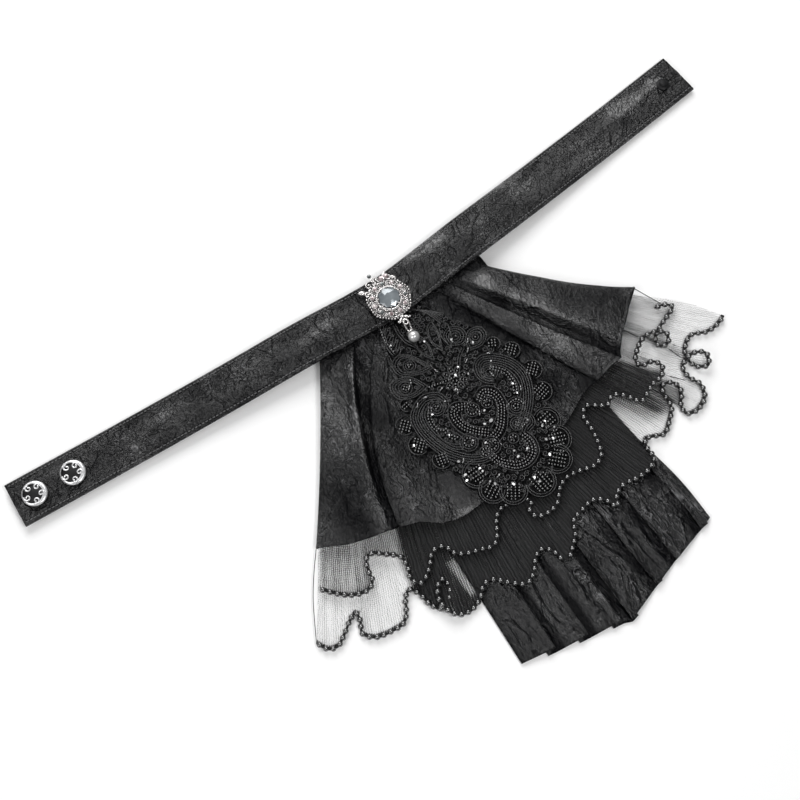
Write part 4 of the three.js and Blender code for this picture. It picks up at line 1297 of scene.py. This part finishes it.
# Applique: cords, seed beads and bugle beads on a dark backing
applique = {
    "backingZ": 6.95,
    "cordZ": 7.75,
    "cordRadius": 0.36,
    "cordStep": 1.2,
    "seedRadius": 0.7,
    "seedStep": 1.5,
    "seedZ": 7.95,
    "seedGap": 1.25,
    "bugleHalf": 1.7,
    "bugleRadius": 0.6,
    "curlGrid": 1.1,
    "curlSizes": (0.65, 1.7),
    "fanCentre": (2.4, -104.4),
    "flower": (0.6, -57.6),
    "petals": [  # x, y, radius
        (-19.5, -104, 7.6), (-17.6, -115, 7.4), (-9.8, -121.2, 7.4), (4, -125, 8.2), (17.6, -120.6, 7.8),
        (23.6, -112.4, 7.6), (25.4, -101.8, 7.2),
    ],
    "bodyLeft": [
        (-12, -11), (-18, -24), (-20, -34), (-27, -52), (-32, -70), (-30, -92), (-24, -104), (-14, -122),
        (-2, -126),
    ],
    "bodyRight": [
        (4, -11), (13, -20), (18, -31), (26, -43), (29, -54), (34, -72), (31, -92), (28, -106), (19, -120),
        (8, -126),
    ],
    "scallops": [  # x, y, radius, direction
        (-34, -63.4, 5, 180), (-34.2, -75.4, 5.4, 180), (-29.2, -88, 5, 215), (-27.2, -54.9, 3.6, 150),
        (27.5, -53.5, 3.8, 20), (33, -61.5, 4.6, 0), (35.4, -76, 5.2, 0), (32.4, -88.1, 5.4, -25),
    ],
    "scrolls": [  # how many cords, their side, the first one's line
        (5, 1, [(-13.6, -69.4), (-10.6, -68), (-8.8, -63.6), (-10.8, -58.5), (-17.2, -55.4), (-24.4, -57.3),
         (-29.6, -62), (-31.4, -70), (-30, -79.9), (-26.9, -88.5), (-19.5, -97.7), (-13.2, -101.5),
         (-6, -102.6)]),
        (5, -1, [(15.6, -71), (12.4, -68.6), (10.2, -63.6), (12.6, -57), (18, -55), (24.4, -58),
         (30.6, -65.6), (32.6, -75), (29.9, -83.5), (24.5, -91), (17.6, -96.8), (11.9, -100.4)]),
        (2, 1, [(-20, -60.5), (-24, -64), (-25.6, -71), (-24.4, -79.6), (-21.6, -86.4), (-17, -90.6)]),
        (2, -1, [(19.4, -61), (24.8, -67.5), (26.2, -75), (24, -82), (21, -84.6)]),
        (1, 1, [(2.4, -70.8), (8.7, -68.6), (14.4, -72.8), (14.9, -81.7), (9.9, -90), (4.8, -94.9),
         (-1.4, -97.4)]),
        (1, 1, [(0.2, -73.2), (-4.6, -68.4), (-9.8, -67.6), (-13.2, -71), (-14.4, -75.6), (-13.4, -82.2),
         (-9.6, -88.3), (-2.2, -94.6)]),
        (1, 1, [(7.4, -72.6), (10.2, -76), (9.4, -81.6), (5.4, -86), (0.4, -88.8)]),
        (1, 1, [(-6.8, -73.2), (-8.6, -77.4), (-6.4, -83), (-1.6, -87)]),
        (3, -1, [(13.7, -92.4), (18.4, -92), (20.8, -95.4), (19.6, -99.6), (14.6, -101.2)]),
        (2, 1, [(-8.8, -104.4), (-5.6, -110.7), (-0.9, -114.8), (6.2, -115.8), (12.7, -112.4),
         (14.9, -105.8), (13.6, -100.4)]),
        (2, 1, [(-11, -12.6), (-15.8, -18), (-17.8, -25), (-17.6, -30)]),
        (2, 1, [(-8, -16), (-9, -22), (-8.4, -28), (-5.4, -33)]),
        (2, 1, [(1.4, -47.4), (1.2, -50.2), (3.6, -51.4), (5.6, -49.2)]),
        (2, 1, [(5.8, -54.8), (9.6, -50), (14, -47)]),
    ],
    "loops": [  # how many cords inside one another, the outer one's line
        (3, [(-4.8, -46.9), (-7.6, -39.8), (-11.4, -33.4), (-16.5, -31.2), (-21.1, -33.8), (-20.8, -40.6),
         (-13.1, -45.2)]),
        (3, [(-12.6, -53.2), (-16.6, -45), (-22.1, -41.4), (-28.4, -42), (-28.9, -49.6), (-22.4, -53.6)]),
        (2, [(8.4, -41.2), (9.6, -35.6), (14, -33.6), (18.6, -36.4), (19.2, -41.6), (14.6, -44.6)]),
        (3, [(15.2, -49.6), (17.4, -43.8), (22, -40.6), (27.4, -42.4), (27.6, -47.4), (22.6, -50.8)]),
        (2, [(4.1, -42.2), (2.2, -35), (4.4, -28), (8.4, -26), (8.2, -33)]),
        (2, [(-2, -43.8), (-5.4, -36.8), (-4.6, -29.6), (-1.2, -28), (0.4, -35)]),
        (1, [(9, -43.4), (8.4, -34.8), (12.8, -28.8), (14.6, -31.4), (12.4, -38)]),
        (1, [(-22.4, -73.4), (-23.2, -79.6), (-17.6, -86.6), (-14.6, -85.8), (-16.8, -78.6)]),
    ],
    "rings": [  # x, y, radius, how many
        (-14, -38.8, 3.2, 2), (-22.6, -47.4, 3.4, 2), (13.8, -39.2, 3, 2), (22.2, -45.4, 2.8, 2),
        (-1.8, -75.8, 3.6, 1), (6.4, -77, 2.8, 1), (-13.1, -88.6, 4.6, 2), (-4.8, -96.4, 4.6, 2),
        (17.2, -86.9, 4.8, 3), (12.2, -94.6, 3.4, 2), (-15.6, -64.6, 4.4, 3), (16.6, -64.9, 4.2, 3),
        (-9.2, -97.4, 3, 1), (6.2, -99.6, 2.6, 1),
    ],
    "beadRuns": [  # how many rows, their side, the first one's line
        (3, -1, [(3.2, -73), (8.3, -70.4), (12.8, -74), (13.2, -81.4), (8.8, -88.4), (3.8, -93.2),
         (-2, -95)]),
        (3, 1, [(-1.8, -72), (-5, -70), (-9.2, -69.5), (-12, -72), (-12.6, -76), (-11.6, -81.4),
         (-8.2, -86.6), (-2.4, -92.2)]),
        (2, -1, [(19.3, -62.6), (24, -68.8), (24.2, -76.4), (21.6, -82.2)]),
        (2, 1, [(-19, -62.5), (-22.4, -67), (-23.4, -72), (-22.2, -76)]),
        (2, 1, [(-19.8, -76.4), (-19.4, -81), (-17, -84.6)]),
        (3, 1, [(-9.6, -99.8), (-8.4, -105), (-5, -109.6), (-0.6, -113.4), (6, -114.2), (11.4, -111),
         (13.2, -105.4), (12.2, -100.6)]),
        (1, 1, [(-14.8, -14.6), (-16.4, -20), (-16.2, -28)]),
        (1, 1, [(-12.4, -53.8), (-5.6, -55.6), (0.6, -56.8), (6.4, -58.6)]),
        (1, 1, [(11, -86.2), (14, -84.2), (19.4, -84), (21.4, -88.4)]),
        (1, 1, [(13.4, -97.4), (17.4, -96.6), (17.4, -93.8)]),
    ],
    "bugles": [  # x, y, turn
        (-22.7, -58.2, 44), (-17, -57.3, -20), (22.6, -56.6, -35), (15.1, -48.9, 40), (11.2, -53.2, 25),
        (-4.6, -48.8, -70), (-7.7, -58.1, 12), (-10.9, -110.9, 10), (-20.7, -48.2, 40), (18.1, -44.7, 45),
        (-20.8, -94.6, 40), (17.2, -66.8, -85), (0.2, -79.3, 60), (-18.4, -46.1, 70), (-2, -63.8, 60),
        (11.6, -40.2, 60), (24.8, -80.6, 60),
    ],
    "glints": [  # x, y, size
        (-1.2, -85.7, 1.3), (2.9, -85.7, 2), (2.8, -79.9, 1.1), (1.9, -56.2, 1.3), (-6.6, -93.8, 1.2),
        (-10.8, -89, 1), (-0.8, -98.8, 1), (8.5, -108, 1.3), (2.4, -108.8, 1.4), (2.8, -105, 1.1),
        (19.3, -109.4, 1.3), (22.1, -110.9, 1.3), (15.8, -116.6, 1.4), (2.6, -121.7, 1.2),
        (3.8, -124.9, 1.3), (-7.8, -118.3, 1.7), (-14.9, -113.3, 1.5), (-16.2, -110.8, 1.1),
        (-24.5, -101.4, 1.5), (-25.5, -103.8, 1.3), (-16.7, -102.4, 1.1), (-16.4, -104.7, 1.2),
        (21.9, -102.7, 1.3), (17.7, -96.1, 1.1), (-36.4, -74.2, 1.1), (-22.9, -93.7, 1.4),
        (-19.1, -79.9, 1), (22.8, -76.4, 1.1), (21.6, -81.3, 1.3), (19.4, -47.3, 1.2), (11.3, -39.9, 1.2),
        (5.5, -53.4, 1), (-15.5, -24.8, 1), (-0.5, -32.5, 1), (-19.6, -66.4, 1), (12, -87.4, 1),
        (21, -60.6, 0.9), (24.2, -101.4, 1), (-2.4, -62.4, 1), (7.8, -59.4, 1), (-10.2, -64.4, 0.9),
        (26.4, -106.6, 1),
    ],
}


def fillDisc(centre, radius, direction, rowStep):
    # rows of beads along a direction, kept inside a circle
    steps = (applique["seedStep"], rowStep)
    a, b = np.meshgrid(*(np.arange(-radius, radius + 1e-6, step) for step in steps))
    keep = np.hypot(a, b) < radius
    a, b = a[keep], b[keep]
    c, s = np.cos(direction), np.sin(direction)
    return np.stack([centre[0] + c * a - s * b, centre[1] + s * a + c * b], 1)


def seedsAlong(path):
    return pointsAt(path, np.arange(0, lengths(path)[-1], applique["seedStep"]))


def fanAndBorder():
    # arcs of cord round the petals and the scallops, filled with beads
    cords, seeds = [], []
    for x, y, radius in applique["petals"]:
        direction = np.arctan2(y - applique["fanCentre"][1], x - applique["fanCentre"][0])
        middle = np.degrees(direction)
        for inset in (0.4, 0.4 + applique["cordStep"]):
            cords.append(ellipse((x, y), radius - inset, radius - inset, middle - 118, middle + 118))
        seeds.append(fillDisc((x, y), radius - 2.7, direction, 1.9))
    for x, y, radius, middle in applique["scallops"]:
        cords.append(ellipse((x, y), radius - 0.3, radius - 0.3, middle - 105, middle + 105))
        seeds.append(fillDisc((x, y), radius - 1.2, np.radians(middle + 40), 1.6))
    return cords, seeds


def scrollsAndRings():
    # cords beside one another along the scrolls, inside one another in the loops and rings
    cords, seeds, step = [], [], applique["cordStep"]
    for count, side, line in applique["scrolls"]:
        path = curveThrough(line, 0.8)
        cords += [besides(path, side * step * k) for k in range(count)]
    for count, line in applique["loops"]:
        path = curveThrough(line + line[:1], 0.8)
        middle = np.mean(line, axis=0)
        size = np.linalg.norm(path - middle, axis=1).mean()
        cords += [middle + (path - middle) * (1 - step * k / size) for k in range(count)]
    for x, y, radius, count in applique["rings"]:
        cords += [ellipse((x, y), radius - step * k, radius - step * k, spacing=0.5) for k in range(count)]
        inner = radius - step * count
        bare = inner <= 0.6
        seeds.append(np.array([[x, y]]) if bare else seedsAlong(ellipse((x, y), inner, inner, spacing=0.3)))
    for count, side, line in applique["beadRuns"]:
        path = curveThrough(line, 0.5)
        seeds += [seedsAlong(besides(path, side * 1.5 * k)) for k in range(count)]
    return cords, seeds


def laddersAndFlower():
    # short rungs at the top of the pattern on both sides, and the ring of nine loops
    cords, seeds = [], []
    for k in range(9):
        y = -15.4 - 1.75 * k
        cords.append(np.array([(-16.4 + 0.1 * k, y - 2.2), (-13.2, y - 0.6), (-9.6 - 0.1 * k, y + 2.0)]))
    for k in range(6):
        start, bow = (3.4 + 1.5 * k, -13.4 - 1.3 * k), (8.8 + 1.2 * k, -19.6 - 0.9 * k)
        cords.append(curveThrough([start, bow, (12.2 + 0.9 * k, -29.2 + 0.6 * k)], 0.8))
    flower = np.array(applique["flower"])
    for k in range(9):
        angle = 2 * np.pi * k / 9
        eye = flower + 4.6 * np.array([np.cos(angle), np.sin(angle)])
        cords.append(ellipse(eye, 2.2, 1.3, turn=np.degrees(angle), spacing=0.6))
        seeds.append(seedsAlong(np.array([flower + (eye - flower) * 0.3, flower + (eye - flower) * 1.35])))
    return cords, seeds


def bodyEdges(sides, y):
    # x of the pattern's left and right edges at each y
    return [np.interp(-y, -np.array(side)[:, 1], np.array(side)[:, 0]) for side in sides]


def fillerCurls(lines):
    # small curls of cord wherever the pattern leaves the ground bare inside its outline
    step = applique["curlGrid"]
    smallest, largest = applique["curlSizes"]
    columns, rows = np.arange(-36, 38, step), np.arange(-127, -12, step)
    gridX, gridY = (grid.ravel() for grid in np.meshgrid(columns, rows))
    gridX = gridX + step / 2 * (np.round(gridY / step) % 2)
    left, right = bodyEdges((applique["bodyLeft"], applique["bodyRight"]), gridY)
    spots = np.stack([gridX, gridY], 1)[(gridX > left + 0.8) & (gridX < right - 0.8)]
    clear = np.array([np.hypot(*(lines - spot).T).min() for spot in spots])
    curls, taken = [], np.empty((0, 2))
    for k in np.argsort(-clear):
        gap = np.hypot(*(taken - spots[k]).T).min() if len(taken) else 9
        radius = min(clear[k] - 0.35, largest)
        if radius < smallest or gap < 1.9 + 0.6 * radius:
            continue
        taken = np.vstack([taken, spots[k]])
        curls.append(spiral(spots[k], radius, 0.3, 1.3 * (-1) ** len(taken), 47 * len(taken), 0.45))
    return curls


def backingShapes():
    # a low body under the whole pattern, and on it discs that are shallow domes of (1 - r^2)
    base = applique["backingZ"]
    y = np.linspace(-11, -126, 70)
    sides = [curveThrough(applique[key], 0.8) for key in ("bodyLeft", "bodyRight")]
    left, right = (edge[:, None] for edge in bodyEdges(sides, y))
    t = np.linspace(0, 1, 24)
    x = lerp(left, right, t)
    z = base + 0.5 * (1 - (2 * t - 1) ** 8) + 0 * x
    grid = np.stack([x, y[:, None] + 0 * x, z], -1)
    shapes = [gridShape(grid[:, ::-1].transpose(1, 0, 2)[::-1])]
    discs = [(x, y, radius + 0.2, 0.5) for x, y, radius in applique["petals"]]
    discs += [(x, y, radius + 0.1, 0.35) for x, y, radius, _ in applique["scallops"]]
    for x, y, radius, rise in discs + [(*applique["fanCentre"], 12.4, 0.4)]:
        profile = [(0, base - 0.1), (radius, base - 0.1)]
        profile += [(radius * k, base + 0.12 + rise * (1 - k * k)) for k in np.linspace(1, 0, 8)]
        shapes.append(turned(profile, (x, y), 36))
    return shapes


def spacedSeeds(seeds):
    # leaves out a seed bead that comes too close to one before it
    gaps = np.hypot(*(seeds[:, None] - seeds[None]).transpose(2, 0, 1))
    kept = np.zeros(len(seeds), bool)
    for k in range(len(seeds)):
        kept[k] = not np.any(gaps[k, :k][kept[:k]] < applique["seedGap"])
    return seeds[kept]


def makeSeeds(seeds, wander):
    places = raised(seeds, applique["seedZ"] + wander.uniform(-0.12, 0.16, len(seeds)))
    sizes = applique["seedRadius"] * wander.uniform(0.86, 1.04, len(seeds))[:, None] * [[1, 1, 0.85]]
    return places, sizes


def bugleShapes():
    shapes = []
    for x, y, turn in applique["bugles"]:
        half = applique["bugleHalf"] * np.array([np.cos(np.radians(turn)), np.sin(np.radians(turn))])
        ends = np.array([x, y]) + np.outer([-1, 0, 1], half)
        shapes.append(tube(raised(ends, applique["seedZ"] + 0.35), applique["bugleRadius"]))
    return shapes


def cordShapes(cords, wander):
    shapes = []
    for path in cords:
        height = applique["cordZ"] + 0.12 * np.sin(lengths(path) / 2.3 + wander.uniform(0, 6.28))
        shapes.append(tube(raised(path, height), applique["cordRadius"], pitch=1.6))
    return shapes


def makeApplique():
    cords, seeds = (sum(lists, []) for lists in zip(fanAndBorder(), scrollsAndRings(), laddersAndFlower()))
    cords += fillerCurls(np.vstack(cords + seeds))
    seeds = spacedSeeds(np.vstack(seeds))
    wander = np.random.default_rng(17)
    places, sizes = makeSeeds(seeds, wander)
    cordsMade = cordShapes(cords, wander)
    makePiece("applique_backing", backingShapes(), "backing", ["applique"])
    makePiece("applique_cords", cordsMade, "cord")
    seedShape = copies(ball(7, 3), places, sizes, wander.uniform(0, 6.28, len(seeds)))
    makePiece("applique_seed_beads", [seedShape], "seed")
    cutBead = turned([(0, 0.62), (0.62, 0.6), (1.0, 0.1), (1.0, -0.15), (0.6, -0.6), (0, -0.62)], (0, 0), 7)
    glints = np.array(applique["glints"])
    glintPlaces = raised(glints[:, :2], applique["seedZ"] + 0.15)
    crystals = facing(cutBead, glintPlaces, glints[:, 2:] * [[0.95, 0.7, 0.8]], 31)
    makePiece("applique_cut_beads", [crystals], "seed", flat=True)
    makePiece("applique_bugle_beads", bugleShapes(), "bead")
    print("applique:", len(cords), "cords,", len(seeds), "seed beads")


makeApplique()
print("applique made")


# Brooch
brooch = {
    "at": np.array([-2.4, -4.6]),
    "z": layers["broochZ"],
    "radius": 10.9,
    "milgrain": 46,
    "rope": 36,
    "stones": 11,
    "stoneRing": 8.6,
    "claws": 8,
    "facets": 8,
    "pearl": (-3.8, -28.3, 11.4, 3.0),
    "plate": [(0, 0), (10.4, 0), (10.9, 0.3), (10.6, 0.6), (8.6, 0.7), (6.6, 0.8), (6.2, 0.8), (0, 0.8)],
    "bezel": [(5.9, 0.8), (6.9, 0.9), (7.0, 1.9), (6.6, 2.7), (6.1, 2.9), (5.75, 2.6), (5.9, 0.8)],
    "stoneRings": [(2.0, 1.1, 0), (5.7, 3.0, 0), (5.7, 3.4, 0), (4.4, 4.15, 0.5), (2.2, 4.85, 0)],
    "leaves": [  # x and y from the middle, length, width, turn
        (-9.6, 10.2, 2.2, 1.3, 150), (4.8, 12, 2.6, 1.1, 40), (8.2, 8.8, 2, 0.9, -40),
        (0.6, 12.6, 1.8, 0.9, 100), (-6, 8.6, 1.7, 0.9, 60),
    ],
    "curls": [  # x and y from the middle, radius, turns
        (-4.6, 11.4, 1.7, 1.2), (-7.6, 8, 1.5, -1.2), (-2, 9.8, 1.5, 1.1), (2.6, 9.6, 1.4, -1.1),
        (6.4, 9.4, 1.4, 1.1), (-1.2, 13, 1.2, -1.2),
    ],
}


def outlineRadius(angle):
    # the brooch's soft seven-sided outline
    return brooch["radius"] * (1 + 0.035 * np.cos(7 * angle + 0.6))


def gems(places, size):
    # small cut stones: girdle, crown and table as flat facets
    profile = [(0, -0.5), (1.0, -0.1), (1.0, 0.15), (0.55, 0.6), (0, 0.62)]
    return [copies(turned(profile, (0, 0), brooch["facets"]), places, size)]


def leafShape(centre, length, width, turn, z, thick):
    # a pointed leaf: width sin(pi t)^0.8 wide along its length, domed, closed at its tips
    t = np.linspace(0, 1, 15)[:, None]
    s = np.linspace(0, 2 * np.pi, 13, endpoint=False)[None]
    a = (t - 0.5) * 2 * length + 0 * s
    b = width * np.sin(np.pi * np.clip(t, 0.02, 0.98)) ** 0.8 * np.cos(s)
    h = thick * np.sin(s) * np.sin(np.pi * np.clip(t, 0.03, 0.97)) ** 0.5
    c, k = np.cos(turn), np.sin(turn)
    points = np.stack([centre[0] + c * a - k * b, centre[1] + k * a + c * b, z + h], -1)
    shape = gridShape(points, wrapColumns=True)
    coverEnds(shape, 13)
    return shape


def rimShapes(at, z):
    # the rim's wire and its row of grains, and the bezel with a rope of slanting grains
    turn = np.linspace(0, 2 * np.pi, 145)
    grains, rope = (np.linspace(0, 2 * np.pi, brooch[key], endpoint=False) for key in ("milgrain", "rope"))
    bezel = [(r, z + rise) for r, rise in brooch["bezel"]]
    return [
        tube(around(at, outlineRadius(turn) * 0.92, turn, z + 1.2), 0.22, closed=True),
        copies(ball(8, 4), around(at, outlineRadius(grains) + 0.1, grains, z + 1.25), 0.62),
        turned(bezel, at, 56),
        copies(ball(6, 3), around(at, 6.95, rope, z + 2.15), (0.55, 0.3, 0.42), rope + 0.6),
    ]


def clawShapes(at, z):
    shapes = []
    for k in range(brooch["claws"]):
        a = 2 * np.pi * (k + 0.5) / brooch["claws"]
        out = np.array([np.cos(a), np.sin(a)])
        claw = [(*(at + radius * out), z + rise) for radius, rise in ((6.7, 1.6), (6.3, 3.0), (5.2, 3.9))]
        shapes.append(tube(curveThrough(claw, 0.4), 0.38))
    return shapes


def settingShapes(at, z):
    # a cup and two prongs for each small stone, two curls between it and the next, and the stones' places
    shapes, stones = [], []
    for k in range(brooch["stones"]):
        a = 2 * np.pi * k / brooch["stones"] + 0.25
        halfWay = a + np.pi / brooch["stones"]
        out, side = np.array([np.cos(a), np.sin(a)]), np.array([-np.sin(a), np.cos(a)])
        eye = at + brooch["stoneRing"] * out
        stones.append((*eye, z + 2.1))
        shapes.append(tube(raised(ellipse(eye, 1.2, 1.2, spacing=0.35), z + 1.75), 0.25, 5, closed=True))
        between = at + 8.7 * np.array([np.cos(halfWay), np.sin(halfWay)])
        for sign in (-1, 1):
            curl = spiral(between + sign * 0.55 * out, 0.95, 0.25, sign * 1.1, np.degrees(a) + 90 * sign, 0.3)
            prong = eye + 1.15 * (0.5 * out + sign * 0.85 * side)
            shapes.append(tube(raised(curl, z + 1.6), 0.24, 5))
            shapes.append(copies(ball(6, 3), [(*prong, z + 2.3)], 0.34))
    return shapes, np.array(stones)


def crownShapes(at, z):
    shapes = []
    for dx, dy, length, width, turn in brooch["leaves"]:
        shapes.append(leafShape(at + [dx, dy], length, width, np.radians(turn), z + 1.5, 0.8))
    for dx, dy, radius, turns in brooch["curls"]:
        curl = spiral(at + [dx, dy], radius, 0.3, turns, 60 * dx, 0.3)
        shapes.append(tube(raised(curl, z + 1.9), 0.34))
    return shapes


def makeBrooch():
    at, z = brooch["at"], brooch["z"]
    plate = turned([(r, z + rise) for r, rise in brooch["plate"]], at, 56)
    makePiece("brooch_plate", [plate], "oxidised", ["brooch_frame"])
    settings, stones = settingShapes(at, z)
    silver = rimShapes(at, z) + clawShapes(at, z) + settings + crownShapes(at, z)
    makePiece("brooch_silver", silver, "silver")
    pinks = np.arange(len(stones)) % 4 != 2
    makePiece("brooch_rhinestones", gems(stones[pinks], 1.12), "blush", flat=True)
    rest = np.vstack([stones[~pinks], [[at[0] - 1.6, at[1] + 15.6, z + 1.9]]])
    makePiece("brooch_smoky_stones", gems(rest, 1.12), "smoke", flat=True)
    crownStones = [(at[0] + 2.7, at[1] + 11.0, z + 2.3), (at[0] + 5.3, at[1] + 10.8, z + 2.3)]
    makePiece("brooch_crown_stones", gems(crownStones, 1.5), "blush", flat=True)


def makeStone():
    # cut with a table, two rows of crown facets turned half a step, and a pavilion
    n = brooch["facets"]
    k = np.arange(n)
    points = [np.array([[0, 0, 1.1]])]
    for radius, height, shift in brooch["stoneRings"]:
        points.append(around((0, 0), radius, 2 * np.pi * (k + shift) / n, height))
    a, b = ([1 + row * n + place for row in range(5)] for place in (k, (k + 1) % n))
    faces = [np.stack(face, 1) for face in (
        (b[0], a[0], 0 * k), (a[0], b[0], b[1], a[1]), (a[1], b[1], b[2], a[2]), (a[2], b[2], a[3]),
        (b[2], b[3], a[3]), (a[3], b[4], a[4]), (a[3], b[3], b[4]),
    )]
    faces.append(a[4][None])
    points = np.vstack(points) + [*brooch["at"], brooch["z"]]
    shape = {"points": points, "faces": faces, "uv": [np.zeros((*face.shape, 2)) for face in faces]}
    makePiece("brooch_stone_cut", [shape], "stone", ["brooch_stone"], flat=True)


def makeDrop():
    # a ball, two leaves, two bars and a loop that lead down to the pearl's cap
    x, top, z = brooch["at"][0], brooch["at"][1] - 11.2, brooch["z"] + 1.0
    px, py, pz, pr = brooch["pearl"]
    shapes = [copies(ball(10, 6), [(x, top - 0.6, z)], 1.0)]
    for sign in (-1, 1):
        shapes.append(leafShape((x + sign * 1.9, top - 1.7), 1.9, 0.8, -sign * 0.6, z, 0.6))
        shapes.append(copies(ball(8, 5), [(x + sign * 3.2, top - 1.9 - 0.6 * (sign > 0), z)], 0.62))
        bar = curveThrough([
            (x + sign * 0.2, top - 2.4, z), (x - 0.3 + sign * 1.25, top - 4, z),
            (px + 0.6 + sign * 1.2, py + 5.4, z - 0.1), (px + 0.3 + sign * 0.9, py + 4.0, z - 0.1),
        ], 0.4)
        shapes.append(tube(bar, 0.42))
    loop = ellipse((x - 0.3, top - 3.6), 1.2, 1.5, spacing=0.3)
    shapes.append(tube(raised(loop, z), 0.36, closed=True))
    cap = turned([(0, 0.8), (1.1, 1.0), (1.9, 1.2), (2.2, 1.1), (1.9, 0.5), (1.0, 0.1), (0, 0)], (0, 0), 18)
    cap["points"] = cap["points"][:, [0, 2, 1]] * [1, -1, 1] + [px + 0.2, py + pr + 0.9, pz + 0.2]
    makePiece("brooch_drop_links", shapes + [cap], "silver", ["brooch_drop"])
    makePiece("pearl_bead", [copies(ball(28, 15), [(px, py, pz)], pr)], "pearl", ["pearl"])


makeBrooch()
makeStone()
makeDrop()
print("brooch made")
